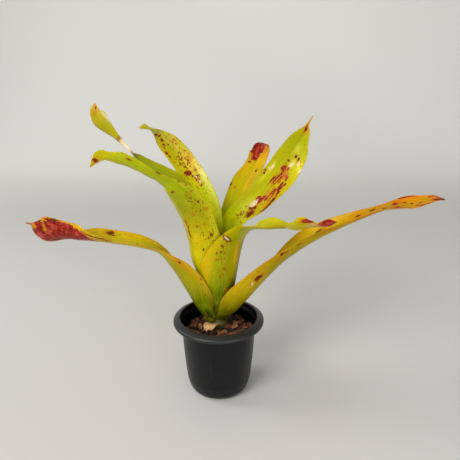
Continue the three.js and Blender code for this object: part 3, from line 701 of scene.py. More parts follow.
def geometry_tree(name, sockets):
    """A Geometry Nodes tree with a geometry in and out and the named inputs."""
    tree = bpy.data.node_groups.new(name, "GeometryNodeTree")
    tree.interface.new_socket(name="Geometry", in_out="INPUT", socket_type="NodeSocketGeometry")
    for label, kind in sockets:
        tree.interface.new_socket(name=label, in_out="INPUT", socket_type="NodeSocket" + kind)
    tree.interface.new_socket(name="Geometry", in_out="OUTPUT", socket_type="NodeSocketGeometry")
    return tree, tree.nodes.new("NodeGroupInput"), tree.nodes.new("NodeGroupOutput")


def close_tree(tree, given, result, last):
    """Ends a tree: makes the last node's instances real and gives them the finish."""
    real = add(tree, "GeometryNodeRealizeInstances", {"Geometry": last.outputs[0]})
    finished = add(tree, "GeometryNodeSetMaterial", {"Geometry": real.outputs[0],
                                                     "Material": given.outputs["Finish"]})
    tree.links.new(finished.outputs[0], result.inputs[0])
    return tree


def run_tree(made, tree, values):
    """Puts a Geometry Nodes modifier on an object and sets its inputs by their identifiers."""
    modifier = made.modifiers.new(tree.name, "NODES")
    modifier.node_group = tree
    for item in tree.interface.items_tree:
        if item.in_out == "INPUT" and item.name in values:
            modifier[item.identifier] = values[item.name]


def turned_tree():
    """Turns the profile that comes in, a line of points, into a closed body round Z."""
    tree, given, result = geometry_tree("turned body", [("Sides", "Int"), ("Finish", "Material")])
    profile = given.outputs["Geometry"]
    size = add(tree, "GeometryNodeAttributeDomainSize", {0: profile}, component="MESH")
    count = size.outputs["Point Count"]
    round_count = maths(tree, "ADD", given.outputs["Sides"], 1)
    grid = add(tree, "GeometryNodeMeshGrid", {"Vertices X": count, "Vertices Y": round_count})
    index = add(tree, "GeometryNodeInputIndex").outputs[0]
    station = maths(tree, "FLOOR", maths(tree, "DIVIDE", maths(tree, "ADD", index, 0.5), round_count))
    turn = maths(tree, "SUBTRACT", index, maths(tree, "MULTIPLY", station, round_count))
    angle = maths(tree, "DIVIDE", maths(tree, "MULTIPLY", turn, 2 * math.pi), given.outputs["Sides"])
    place = add(tree, "GeometryNodeInputPosition").outputs[0]
    sample = add(tree, "GeometryNodeSampleIndex", {"Geometry": profile, "Index": station},
                 data_type="FLOAT_VECTOR", domain="POINT")
    tree.links.new(place, sample.inputs["Value"])
    point = add(tree, "ShaderNodeSeparateXYZ", {0: sample.outputs[0]})
    turned = add(tree, "ShaderNodeCombineXYZ", {
        "X": maths(tree, "MULTIPLY", point.outputs["X"], maths(tree, "COSINE", angle)),
        "Y": maths(tree, "MULTIPLY", point.outputs["X"], maths(tree, "SINE", angle)),
        "Z": point.outputs["Z"],
    }).outputs[0]
    body = add(tree, "GeometryNodeSetPosition", {"Geometry": grid.outputs["Mesh"], "Position": turned})
    merged = add(tree, "GeometryNodeMergeByDistance", {"Geometry": body.outputs[0], "Distance": 1e-6})
    facing = add(tree, "GeometryNodeFlipFaces", {"Mesh": merged.outputs[0]})
    return close_tree(tree, given, result, facing)


def drilled_tree():
    """Drills a ring of holes along Z through the body that comes in."""
    tree, given, result = geometry_tree("drain holes", [
        ("Holes", "Int"), ("Hole radius", "Float"), ("Ring radius", "Float"), ("Depth", "Float"),
        ("Finish", "Material")])
    ring = add(tree, "GeometryNodeMeshCircle", {"Vertices": given.outputs["Holes"],
                                                "Radius": given.outputs["Ring radius"]})
    half = maths(tree, "DIVIDE", math.pi, given.outputs["Holes"])
    turned = add(tree, "GeometryNodeTransform", {
        "Geometry": ring.outputs[0], "Rotation": add(tree, "ShaderNodeCombineXYZ", {"Z": half}).outputs[0]})
    drill = add(tree, "GeometryNodeMeshCylinder", {"Vertices": 32, "Radius": given.outputs["Hole radius"],
                                                   "Depth": given.outputs["Depth"]})
    drills = add(tree, "GeometryNodeInstanceOnPoints", {"Points": turned.outputs[0],
                                                        "Instance": drill.outputs["Mesh"]})
    cutters = add(tree, "GeometryNodeRealizeInstances", {"Geometry": drills.outputs[0]})
    cut = add(tree, "GeometryNodeMeshBoolean", {"Mesh 1": given.outputs["Geometry"],
                                                "Mesh 2": cutters.outputs[0]},
              operation="DIFFERENCE", solver="EXACT")
    return close_tree(tree, given, result, cut)


def chips_tree():
    """Scatters broken bark chips over the surface that comes in, where its "bare" attribute is low."""
    tree, given, result = geometry_tree("bark chips", [
        ("Spacing", "Float"), ("Chip length", "Float"), ("Seed", "Int"), ("Finish", "Material")])
    bare = add(tree, "GeometryNodeInputNamedAttribute", {"Name": "bare"}, data_type="FLOAT").outputs[0]
    open_share = maths(tree, "SUBTRACT", 1.0, bare)
    spread = add(tree, "GeometryNodeDistributePointsOnFaces", {
        "Mesh": given.outputs["Geometry"], "Distance Min": given.outputs["Spacing"], "Density Max": 120000.0,
        "Density Factor": open_share, "Seed": given.outputs["Seed"]}, distribute_method="POISSON")
    variants = add(tree, "GeometryNodeJoinGeometry")
    for k in range(4):
        block = add(tree, "GeometryNodeMeshCube", {"Size": (1.0, 0.34 + 0.08 * k, 0.22), "Vertices X": 5,
                                                   "Vertices Y": 3, "Vertices Z": 3})
        place = add(tree, "GeometryNodeInputPosition").outputs[0]
        noise = add(tree, "ShaderNodeTexNoise", {"Vector": place, "W": 4.1 * k + 1, "Scale": 2.1,
                                                 "Detail": 2.0}, noise_dimensions="4D")
        centred = add(tree, "ShaderNodeVectorMath", {0: noise.outputs["Color"], 1: (0.5, 0.5, 0.5)},
                      operation="SUBTRACT")
        push = add(tree, "ShaderNodeVectorMath", {0: centred.outputs[0], 1: (0.75, 0.55, 0.5)},
                   operation="MULTIPLY")
        broken = add(tree, "GeometryNodeSetPosition", {"Geometry": block.outputs["Mesh"],
                                                       "Offset": push.outputs[0]})
        single = add(tree, "GeometryNodeGeometryToInstance", {0: broken.outputs[0]})
        tree.links.new(single.outputs[0], variants.inputs[0])

    def chance(low, high, salt):
        """A random number for each chip."""
        return add(tree, "FunctionNodeRandomValue", {2: low, 3: high, "Seed": salt},
                   data_type="FLOAT").outputs[1]

    pick = add(tree, "FunctionNodeRandomValue", {4: 0, 5: 3, "Seed": 5}, data_type="INT").outputs[2]
    turn = add(tree, "ShaderNodeCombineXYZ", {"X": chance(-0.55, 0.55, 1), "Y": chance(-0.45, 0.45, 2),
                                              "Z": chance(0, 6.283, 3)}).outputs[0]
    size = maths(tree, "MULTIPLY", given.outputs["Chip length"], chance(0.55, 1.5, 4))
    chips = add(tree, "GeometryNodeInstanceOnPoints", {
        "Points": spread.outputs["Points"], "Instance": variants.outputs[0], "Pick Instance": True,
        "Instance Index": pick, "Rotation": turn, "Scale": size})
    shaded = add(tree, "GeometryNodeStoreNamedAttribute", {
        "Geometry": chips.outputs[0], "Name": "shade", "Value": chance(0, 1, 6)},
        data_type="FLOAT", domain="INSTANCE")
    return close_tree(tree, given, result, shaded)


def spines_tree():
    """Sets small spines along the margin lines that come in, each along its "outward" attribute."""
    tree, given, result = geometry_tree("marginal spines", [
        ("Step", "Float"), ("Length", "Float"), ("Seed", "Int"), ("Finish", "Material")])
    line = add(tree, "GeometryNodeMeshToCurve", {"Mesh": given.outputs["Geometry"]})
    spaced = add(tree, "GeometryNodeResampleCurve", {"Curve": line.outputs[0],
                                                     "Length": given.outputs["Step"]}, mode="LENGTH")
    outward = add(tree, "GeometryNodeInputNamedAttribute", {"Name": "outward"},
                  data_type="FLOAT_VECTOR").outputs[0]
    aim = add(tree, "FunctionNodeAlignRotationToVector", {"Vector": outward}, axis="Z")
    spine = add(tree, "GeometryNodeMeshCone", {"Vertices": 5, "Side Segments": 2, "Radius Bottom": 0.24,
                                               "Radius Top": 0.02, "Depth": 1.0})
    sunk = add(tree, "GeometryNodeTransform", {"Geometry": spine.outputs["Mesh"],
                                               "Translation": (0, 0, -0.25)})
    chance = add(tree, "FunctionNodeRandomValue", {2: 0.55, 3: 1.1, "Seed": given.outputs["Seed"]},
                 data_type="FLOAT").outputs[1]
    spines = add(tree, "GeometryNodeInstanceOnPoints", {
        "Points": spaced.outputs[0], "Instance": sunk.outputs[0], "Rotation": aim.outputs[0],
        "Scale": maths(tree, "MULTIPLY", given.outputs["Length"], chance)})
    return close_tree(tree, given, result, spines)


# ---- finishes ----

def new_finish(name):
    """An empty node material and its shader."""
    material = bpy.data.materials.new(name)
    material.use_nodes = True
    tree = material.node_tree
    shader = next(n for n in tree.nodes if n.type == "BSDF_PRINCIPLED")
    return material, tree, shader


def object_place(tree, scale=(1.0, 1.0, 1.0)):
    """Object coordinates in metres, stretched by scale."""
    where = add(tree, "ShaderNodeTexCoord").outputs["Object"]
    return add(tree, "ShaderNodeMapping", {"Vector": where, "Scale": scale}).outputs[0]


def noise_at(tree, place, scale, detail=2.0, roughness=0.5):
    """Noise from 0 to 1."""
    return add(tree, "ShaderNodeTexNoise", {"Vector": place, "Scale": scale, "Detail": detail,
                                            "Roughness": roughness}).outputs[0]


def blend(tree, share, a, b, mode="MIX"):
    """Mixes two colours."""
    made = add(tree, "ShaderNodeMix", {0: share, 6: a, 7: b}, data_type="RGBA", blend_type=mode)
    return made.outputs[2]


def between(tree, value, low, high, to_low=0.0, to_high=1.0):
    """Maps low..high smoothly to to_low..to_high."""
    return add(tree, "ShaderNodeMapRange", {0: value, 1: low, 2: high, 3: to_low, 4: to_high},
               interpolation_type="SMOOTHSTEP").outputs[0]


def solid(red_green_blue):
    """A linear colour with full opacity."""
    return (*red_green_blue, 1.0)


def dye(red, green, blue):
    """A colour from 0 to 255 as a shader reads it."""
    return solid(colour_of((red, green, blue)))


def relief(tree, height, depth, strength):
    """Normals of a bumpy surface, depth in metres."""
    return add(tree, "ShaderNodeBump", {"Height": height, "Distance": depth,
                                        "Strength": strength}).outputs[0]


def leaf_finish(settings):
    """Waxy leaf skin: veined, mottled, freckled; scorched, crimson, bleached and yellowed marks; painted
    highlights.
    """
    material, tree, shader = new_finish("leaf skin")
    tone = add(tree, "ShaderNodeAttribute", attribute_name="tone").outputs["Color"]
    painted = add(tree, "ShaderNodeAttribute", attribute_name="marks")
    marks = add(tree, "ShaderNodeSeparateColor", {0: painted.outputs["Color"]})
    density = add(tree, "ShaderNodeAttribute", attribute_name="freckles").outputs["Fac"]
    burnt = add(tree, "ShaderNodeAttribute", attribute_name="scorch").outputs["Fac"]
    blade = add(tree, "ShaderNodeUVMap", uv_map="blade").outputs[0]

    def skin_noise(wide, long, detail, roughness=0.5):
        """Noise in patches of so many millimetres across and along the blade."""
        scaled = add(tree, "ShaderNodeMapping", {"Vector": blade, "Scale": (100 / wide, 100 / long, 1)})
        return noise_at(tree, scaled.outputs[0], 1.0, detail, roughness)

    veins = skin_noise(0.7, 15, 3.0)
    mottle = skin_noise(6, 15, 3.0)
    ragged = skin_noise(1.5, 2.6, 4.0, 0.68)
    streak = skin_noise(0.9, 6.0, 2.0)
    speck = skin_noise(1.5, 2.3, 3.0, 0.55)
    clump = skin_noise(5, 8, 2.0)
    torn = maths(tree, "MULTIPLY_ADD", streak, 0.9, maths(tree, "MULTIPLY", ragged, 1.2))
    wander = maths(tree, "SUBTRACT", torn, 1.05)

    def mask(mark, soft, reach=0.5):
        """Where a kind of mark lies, with a ragged edge; a lower reach makes it wider."""
        return between(tree, maths(tree, "ADD", mark, wander), reach - soft, reach + soft)

    colour = blend(tree, between(tree, mottle, 0.35, 0.68, 0.0, 0.35), tone, dye(150, 160, 0))
    dark_veins = between(tree, veins, 0.35, 0.7, 0.0, 0.20)
    light_veins = between(tree, veins, 0.50, 0.30, 0.0, 0.12)
    colour = blend(tree, dark_veins, colour, solid((0.96, 0.86, 0.10)), "MULTIPLY")
    colour = blend(tree, light_veins, colour, solid((1.0, 1.0, 0.10)), "SCREEN")

    brown_mark, crimson_mark, pale_mark = (marks.outputs[name] for name in ("Red", "Green", "Blue"))
    crimson, brown, pale = (mask(mark, 0.07) for mark in (crimson_mark, brown_mark, pale_mark))
    halo = maths(tree, "MAXIMUM", mask(crimson_mark, 0.10, 0.36), mask(brown_mark, 0.12, 0.30))
    amber = maths(tree, "MULTIPLY", halo, 0.75)
    crowd = maths(tree, "MULTIPLY", density, between(tree, clump, 0.36, 0.62, 0.25, 1.25))
    threshold = maths(tree, "MULTIPLY_ADD", crowd, -0.20, 0.69)
    over = maths(tree, "SUBTRACT", speck, threshold)
    freckle = between(tree, over, 0.0, 0.025)
    amber = maths(tree, "MAXIMUM", amber, between(tree, over, -0.06, 0.01, 0.0, 0.75))
    colour = blend(tree, amber, colour, solid(settings.amber))
    yellowed = maths(tree, "MULTIPLY", mask(painted.outputs["Alpha"], 0.24), 0.85)
    colour = blend(tree, yellowed, colour, solid(settings.amber))
    deep = solid([0.35 * c for c in settings.crimson])
    red = blend(tree, between(tree, ragged, 0.45, 0.66, 0.0, 0.8), solid(settings.crimson), deep)
    red = blend(tree, between(tree, clump, 0.50, 0.62, 0.0, 0.6), red, deep)
    red = blend(tree, between(tree, clump, 0.46, 0.34, 0.0, 0.5), red, solid((0.58, 0.09, 0.07)))
    red = blend(tree, between(tree, speck, 0.52, 0.70, 0.0, 0.65), red, solid(settings.amber))
    colour = blend(tree, crimson, colour, red)
    dead_hue = blend(tree, burnt, solid(settings.stain), solid(settings.brown))
    scorch = blend(tree, between(tree, speck, 0.60, 0.42), dead_hue, solid((0.5, 0.5, 0.5)), "MULTIPLY")
    colour = blend(tree, maths(tree, "MAXIMUM", brown, maths(tree, "MULTIPLY", freckle, 0.9)), colour, scorch)
    # The pale layer: scars and dry tissue, and on leaf_right painted highlights.
    colour = blend(tree, maths(tree, "MULTIPLY", pale, 0.85), colour, solid(settings.pale))

    # dead also takes in the pale layer, painted highlights included, for roughness and relief.
    dead = maths(tree, "MAXIMUM", brown, pale)
    waxy = between(tree, mottle, 0.3, 0.7, 0.26, 0.40)
    height = maths(tree, "MULTIPLY_ADD", veins, 0.6, maths(tree, "MULTIPLY", mottle, 0.8))
    height = maths(tree, "MULTIPLY_ADD", maths(tree, "MAXIMUM", dead, freckle), -0.5, height)
    feed(tree, shader, {
        "Base Color": colour, "Roughness": maths(tree, "MULTIPLY_ADD", dead, 0.25, waxy),
        "Specular IOR Level": 0.14, "Specular Tint": solid((1.0, 0.93, 0.45)),
        "Subsurface Weight": 0.05, "Subsurface Radius": (0.9, 0.7, 0.10), "Subsurface Scale": 0.0012,
        "Normal": relief(tree, height, 0.00025, 0.6)})
    return material


def spine_finish():
    """Straw-brown horn of the marginal spines."""
    material, tree, shader = new_finish("spine horn")
    grain = noise_at(tree, object_place(tree), 700, 2.0)
    colour = blend(tree, grain, dye(176, 138, 40), dye(120, 66, 22))
    feed(tree, shader, {"Base Color": colour, "Roughness": 0.5})
    return material


def plastic_finish(settings):
    """Satin black nursery plastic: moulded grain, dust, scuffs, painted light on the lip and painted shade
    inside.
    """
    material, tree, shader = new_finish("black nursery plastic")
    place = object_place(tree)
    dust = noise_at(tree, place, 55, 4.0, 0.6)
    grain = noise_at(tree, place, 1500, 2.0)
    scuff = noise_at(tree, object_place(tree, (1, 1, 0.12)), 260, 3.0)
    axes = add(tree, "ShaderNodeSeparateXYZ", {0: place})
    lip = between(tree, axes.outputs["Z"], *POT_PAINTED_LIGHT_AND_SHADE["lip"])
    dusty = solid((0.0070, 0.0072, 0.0082))
    colour = blend(tree, between(tree, dust, 0.35, 0.75, 0.05, 0.45), solid(settings.colour), dusty)
    # Painted light: the lip is lighter, as where light falls on its upward face.
    colour = blend(tree, maths(tree, "MULTIPLY", lip, 0.6), colour, solid((0.0180, 0.0180, 0.0195)))
    colour = blend(tree, between(tree, scuff, 0.66, 0.74, 0.0, 0.10), colour, solid((0.070, 0.068, 0.065)))
    # Painted shade: the wall's inside is made near black and its sheen is lowered.
    reach = maths(tree, "SQRT", maths(tree, "ADD", maths(tree, "POWER", axes.outputs["X"], 2.0),
                                      maths(tree, "POWER", axes.outputs["Y"], 2.0)))
    wall = between(tree, axes.outputs["Z"], *POT_PAINTED_LIGHT_AND_SHADE["wall"])
    inner = maths(tree, "MULTIPLY", maths(tree, "LESS_THAN", reach, wall),
                  maths(tree, "GREATER_THAN", axes.outputs["Z"], POT_PAINTED_LIGHT_AND_SHADE["inside"]))
    colour = blend(tree, maths(tree, "MULTIPLY", inner, 0.8), colour, solid((0.0015, 0.0014, 0.0013)))
    sheen = maths(tree, "MULTIPLY_ADD", lip, 0.22, 0.26)
    sheen = maths(tree, "MULTIPLY", sheen, maths(tree, "MULTIPLY_ADD", inner, -0.85, 1.0))
    height = maths(tree, "ADD", grain, maths(tree, "MULTIPLY", scuff, 0.4))
    feed(tree, shader, {
        "Base Color": colour, "Roughness": between(tree, dust, 0.3, 0.7, 0.30, 0.44),
        "Specular IOR Level": sheen, "Normal": relief(tree, height, 0.00006, 0.5)})
    return material


def bark_finish(name, settings, shade):
    """Damp bark: streaked and cracked; shade is an attribute's name, or a fixed share from dark to tan."""
    material, tree, shader = new_finish(name)
    place = object_place(tree)
    streaks = noise_at(tree, object_place(tree, (1, 0.35, 1.6)), 420, 4.0, 0.65)
    flecks = noise_at(tree, place, 900, 3.0, 0.6)
    if isinstance(shade, str):
        shade = add(tree, "ShaderNodeAttribute", attribute_name=shade).outputs["Fac"]
    drawn = maths(tree, "MULTIPLY_ADD", maths(tree, "SUBTRACT", streaks, 0.5), 0.9, shade)
    ramp = add(tree, "ShaderNodeValToRGB", {0: drawn})
    stops = ramp.color_ramp.elements
    stops[0].position, stops[0].color = 0.25, solid(settings.dark)
    stops[1].position, stops[1].color = 1.0, solid(settings.tan)
    stops.new(0.54).color = solid([0.5 * (a + b) for a, b in zip(settings.dark, settings.red)])
    stops.new(0.82).color = solid(settings.red)
    colour = blend(tree, between(tree, flecks, 0.62, 0.72, 0.0, 0.55), ramp.outputs[0], solid(settings.dark))
    height = maths(tree, "ADD", streaks, maths(tree, "MULTIPLY", flecks, 0.5))
    feed(tree, shader, {
        "Base Color": colour, "Roughness": between(tree, streaks, 0.3, 0.7, 0.95, 0.62),
        "Normal": relief(tree, height, 0.0006, 0.9)})
    return material


def dry_finish():
    """Dry fibrous leaf base, beige with brown strands."""
    material, tree, shader = new_finish("dry leaf base")
    along = add(tree, "ShaderNodeUVMap", uv_map="blade").outputs[0]
    drawn_out = add(tree, "ShaderNodeMapping", {"Vector": along, "Scale": (150, 9, 1)}).outputs[0]
    strands = noise_at(tree, drawn_out, 1.0, 4.0, 0.6)
    stains = noise_at(tree, object_place(tree), 160, 3.0)
    colour = blend(tree, between(tree, strands, 0.32, 0.66), dye(226, 188, 130), dye(168, 118, 66))
    colour = blend(tree, between(tree, stains, 0.50, 0.70, 0.0, 0.75), colour, dye(120, 76, 38))
    feed(tree, shader, {
        "Base Color": colour, "Roughness": between(tree, strands, 0.3, 0.7, 0.88, 0.70),
        "Normal": relief(tree, strands, 0.0005, 0.9)})
    return material


def stem_finish():
    """Dull green stem, browner in its leaf scars."""
    material, tree, shader = new_finish("stem tissue")
    place = object_place(tree)
    rings = noise_at(tree, object_place(tree, (0.15, 0.15, 2.2)), 320, 3.0)
    spots = noise_at(tree, place, 300, 3.0)
    colour = blend(tree, between(tree, rings, 0.40, 0.62), dye(92, 104, 30), dye(112, 84, 40))
    colour = blend(tree, between(tree, spots, 0.55, 0.72, 0.0, 0.6), colour, dye(60, 50, 20))
    feed(tree, shader, {
        "Base Color": colour, "Roughness": between(tree, spots, 0.3, 0.7, 0.6, 0.8),
        "Normal": relief(tree, maths(tree, "ADD", rings, spots), 0.0003, 0.7)})
    return material


def backdrop_finish(settings):
    """Matt paper sweep, with painted light: lighter towards its right and up its wall."""
    material, tree, shader = new_finish("backdrop paper")
    place = object_place(tree)
    axes = add(tree, "ShaderNodeSeparateXYZ", {0: place})
    wall = between(tree, axes.outputs["Y"], 0.55, 1.25)
    cloud = maths(tree, "MULTIPLY", noise_at(tree, place, 2.2, 2.0), 0.25)
    # Painted light: the colour lightens towards the right and up the wall.
    lean = maths(tree, "MULTIPLY_ADD", axes.outputs["X"], 0.80, axes.outputs["Z"])
    lift = between(tree, maths(tree, "ADD", lean, cloud), 0.45, 1.05)
    across = between(tree, axes.outputs["X"], -0.5, 0.5, 0.0, 0.9)
    painted_light_colours = [solid([min(1.0, c * level) for c in settings.backdrop]) for level in BACKDROP_PAINTED_LIGHT]
    floor = blend(tree, maths(tree, "ADD", cloud, across), painted_light_colours[0], painted_light_colours[1])
    rear = blend(tree, lift, painted_light_colours[2], painted_light_colours[3])
    feed(tree, shader, {"Base Color": blend(tree, wall, floor, rear), "Roughness": 0.9,
                        "Specular IOR Level": 0.15})
    return material


# ---- leaves ----

def stations_of(form):
    """The sheath's stations, wrapped round the stem, then the blade's own."""
    if "wrap" not in form:
        return np.array(form["blade"], float)
    order = form["order"]
    start = NEST["start"] + NEST["rise"] * order
    steps = 3 if form["leaves"] - start > NEST["long"] else 2
    sheath = []
    for share in np.linspace(0, 1, steps):
        up = start + (form["leaves"] - start) * share
        funnel = NEST["radius"] + NEST["flare"] * up - NEST["ease"] * up * up
        radius = funnel - order * (NEST["step"] + NEST["step_growth"] * up)
        curl = form["wrap"][0] + (form["wrap"][1] - form["wrap"][0]) * share
        sheath.append((up, radius, 0, radius * math.radians(curl), curl, 0))
    return np.array(sheath + list(form["blade"]), float)


def blade_rows(form, step):
    """Rows of a blade at even steps in millimetres: place, face direction, across direction, half width,
    curl, length run from the foot, and the length at which the sheath ends."""
    stations = stations_of(form)
    last = len(stations) - 1
    faces = math.radians(form["faces"])
    out = np.array([math.cos(faces), math.sin(faces), 0])
    aside = np.array([-out[1], out[0], 0])
    up = np.array([0, 0, 1.0])

    def middle(t):
        row = spline(stations, np.clip(t, 0, last))
        return CROWN + row[:, :1] * up + row[:, 1:2] * out + row[:, 2:3] * aside

    t = np.linspace(0, last, last * 16 + 1)
    tangents = unit(middle(t + 0.04) - middle(t - 0.04))
    normals = np.zeros_like(tangents)
    normal = -out
    for i, tangent in enumerate(tangents):
        if i:
            turn = Vector(tangents[i - 1]).rotation_difference(Vector(tangent))
            normal = np.array(turn @ Vector(normal))
        normal = unit(normal - tangent * np.dot(normal, tangent))
        normals[i] = normal
    run = np.concatenate([[0], np.cumsum(np.linalg.norm(np.diff(middle(t), axis=0), axis=1))])

    count = max(int(round(run[-1] / step)), 6)
    length = np.linspace(0, run[-1], count + 1)
    t_row = np.interp(length, run, t)
    row = spline(stations, t_row)
    tangent = unit(np.stack([np.interp(t_row, t, tangents[:, k]) for k in range(3)], 1))
    face = np.stack([np.interp(t_row, t, normals[:, k]) for k in range(3)], 1)
    face = unit(face - tangent * (face * tangent).sum(1, keepdims=True))
    twist = np.radians(row[:, 5:6])
    face = face * np.cos(twist) + np.cross(tangent, face) * np.sin(twist)
    sheath_end = np.interp(last - len(form["blade"]) + 1, t, run)
    return {
        "middle": middle(t_row), "tangent": tangent, "face": face, "across": np.cross(tangent, face),
        "half": np.maximum(row[:, 3], LEAST_HALF_WIDTH), "curl": np.radians(np.maximum(row[:, 4], 1)),
        "length": length, "sheath_end": sheath_end if "wrap" in form else 0.0,
    }


def shell_faces(rows, columns):
    """Faces that join an upper and a lower grid of points into one closed skin, and which of them are rim."""
    wide = columns + 1
    offset = (rows + 1) * wide
    i, j = np.meshgrid(np.arange(rows), np.arange(columns), indexing="ij")
    a = (i * wide + j).ravel()
    upper = np.stack([a, a + 1, a + wide + 1, a + wide], 1)
    lower = offset + upper[:, ::-1]
    left = np.arange(rows) * wide
    right = left + columns
    start = np.arange(columns)
    end = rows * wide + start
    rim = np.concatenate([
        np.stack([left, left + wide, offset + left + wide, offset + left], 1),
        np.stack([right, offset + right, offset + right + wide, right + wide], 1),
        np.stack([start, offset + start, offset + start + 1, start + 1], 1),
        np.stack([end, end + 1, offset + end + 1, offset + end], 1),
    ])
    return np.concatenate([upper, lower, rim]), len(rim)


def curled_surface(rows, across):
    """Points of a blade's curled middle surface, one for each row and place across, and the directions in
    which they lie from the curl's centre line."""
    angle = rows["curl"][:, None] * across
    spoke = (rows["across"][:, None] * np.sin(angle)[..., None]
             - rows["face"][:, None] * np.cos(angle)[..., None])
    radius = (rows["half"] / rows["curl"])[:, None, None]
    return rows["middle"][:, None] + rows["face"][:, None] * radius + spoke * radius, spoke


def thin_body(name, upper, lower, material, flipped=False, sharp_rim=False):
    """A closed thin body between an upper and a lower grid of points in millimetres."""
    faces, rim_count = shell_faces(upper.shape[0] - 1, upper.shape[1] - 1)
    if flipped:
        faces = faces[:, ::-1]
    points = np.concatenate([upper.reshape(-1, 3), lower.reshape(-1, 3)]) * MM
    made = new_object(name, points, faces.tolist(), material)
    if sharp_rim:
        smooth = np.arange(len(faces)) < len(faces) - rim_count
        made.data.polygons.foreach_set("use_smooth", smooth)
    need_outward(made)
    return made


def ellipse(length, width, at, wide_at, half_long, half_wide, turn=0.0):
    """Distance from a mark's middle over its radius, so that its edge is at one."""
    u, v = length - at, width - wide_at
    c, s = math.cos(math.radians(turn)), math.sin(math.radians(turn))
    return np.hypot((u * c + v * s) / half_long, (v * c - u * s) / half_wide)


def paint(look, length, width, across, half):
    """Colours of a blade's points: its tone, its marks and how freckled it is."""
    total = length.max()
    share = length / total

    def far_from(at, place, half_long, half_wide, turn=0.0):
        """How far every point is from a patch's middle, over the patch's radius."""
        middle = place * float(np.interp(at * total, length[:, 0], half))
        return ellipse(length, width, at * total, middle, half_long, half_wide, turn)

    stops = [stop for stop, _ in look["tones"]]
    hues = np.array([colour_of(hue) for _, hue in look["tones"]])
    tone = np.stack([np.interp(share, stops, hues[:, k]) for k in range(3)], -1)
    hue, strength = look["rim"]
    edge = (ease(0.55, 1.0, np.abs(across)) * strength)[..., None] * ease(0.08, 0.25, share)[..., None]
    tone = tone * (1 - edge) + colour_of(hue) * edge
    for hue, at, place, half_long, half_wide, strength in look["flushes"]:
        far = far_from(at, place, half_long, half_wide)
        weight = (strength * np.exp(-far * far))[..., None]
        tone = tone * (1 - weight) + colour_of(hue) * weight
    marks = np.zeros(length.shape + (4,))
    for kind, *places in look["marks"]:
        layer = MARK_KINDS[kind]
        for at, place, half_long, half_wide, *turn in places:
            far = far_from(at, place, half_long, half_wide, *turn)
            crisp = 0.5 * max(1.0, min(half_long, half_wide) / 2)
            mark = np.clip(0.5 + crisp * (1 - far), 0, 1)
            marks[..., layer] = np.maximum(marks[..., layer], mark)
            if kind == "amber":
                marks[..., MARK_KINDS["crimson"]] *= 1 - mark
    marks[..., MARK_KINDS["crimson"]] *= 1 - 0.6 * ease(0.93, 0.99, np.abs(across))
    freckles = np.full(length.shape, look["freckles"])
    for at, place, half_long, half_wide, density in look["clusters"]:
        far = far_from(at, place, half_long, half_wide)
        freckles = np.maximum(freckles, density * np.exp(-0.6 * far * far))
    return tone, marks, freckles


def store(mesh, name, kind, key, values):
    """Writes one attribute of a mesh's points."""
    attribute = mesh.attributes.new(name, kind, "POINT")
    attribute.data.foreach_set(key, np.ascontiguousarray(values, np.float32).ravel())


def write_uv(mesh, width, length, order=0):
    """Writes the map "blade": across and along, where one is 100 mm, each leaf on its own stretch of it."""
    corners = np.zeros(len(mesh.loops), int)
    mesh.loops.foreach_get("vertex_index", corners)
    flat = np.stack([width.ravel(), length.ravel()], 1) / 100 + (0, 3 * order)
    flat = np.concatenate([flat, flat])[corners]
    mesh.uv_layers.new(name="blade").data.foreach_set("uv", flat.astype(np.float32).ravel())


def make_leaf(name, form, settings, material):
    """One leaf as a closed thin blade, with its margins kept for the spines."""
    rows = blade_rows(form, settings.row_step / MM)
    half = rows["half"]
    columns = settings.columns if half.max() > NARROW_BLADE["half_width"] else NARROW_BLADE["columns"]
    across = np.linspace(-1, 1, columns + 1)
    across = (np.sign(across) * (1 - (1 - np.abs(across)) ** 1.15))[None]
    length = rows["length"][:, None] + 0 * across
    total = rows["length"][-1]
    width = half[:, None] * across
    surface, spoke = curled_surface(rows, across)
    inward = -spoke

    look = LEAF_LOOKS[name]
    order = form["order"]
    free = (ease(rows["sheath_end"], rows["sheath_end"] + RIPPLE["grows"], length)
            * ease(total, total - RIPPLE["fades"], length))
    near_rim = np.abs(across) ** 2.4
    side = np.sign(across) * 40 + 0 * length
    ripple = (patches(length, side, RIPPLE["long"], 20 + order)
              + 0.5 * patches(length, side, RIPPLE["short"], 40 + order))
    lift = look["wave"] * ripple * near_rim * free
    lift += RIPPLE["roll"] * patches(length, width, RIPPLE["broad"], 60 + order) * free
    lift -= look["fold"] * np.exp(-(across / MIDRIB_SHARE) ** 2) * free
    surface = surface + inward * lift[..., None]

    slim = ease(0, 3.0, half)[:, None]
    body = 1 - np.abs(across) ** 3
    rim = settings.rim_thickness / MM
    thick = (rim + (settings.thickness / MM - rim) * body) * np.maximum(slim, 0.35)
    upper = surface + inward * (0.5 * thick)[..., None]
    lower = surface - inward * (0.5 * thick)[..., None]
    made = thin_body(name + "_blade", upper, lower, material, sharp_rim=True)
    write_uv(made.data, width, length, order)
    tone, marks, freckles = paint(look, length, width, across + 0 * length, half)
    tone = np.concatenate([tone, np.ones(tone.shape[:2] + (1,))], -1)
    for label, kind, key, values in (
            ("tone", "FLOAT_COLOR", "color", tone),
            ("marks", "FLOAT_COLOR", "color", marks),
            ("freckles", "FLOAT", "value", freckles),
            ("scorch", "FLOAT", "value", np.full(length.shape, look["scorch"]))):
        store(made.data, label, kind, key, np.concatenate([values, values]))

    margins = []
    first = int(np.searchsorted(rows["length"], rows["sheath_end"] + SPINES["start"]))
    for column, inner in ((0, 1), (columns, columns - 1)):
        line = surface[first:-3, column]
        outward = unit(line - surface[first:-3, inner])
        margins.append((line, unit(outward + SPINES["lean"] * rows["tangent"][first:-3])))
    return made, margins


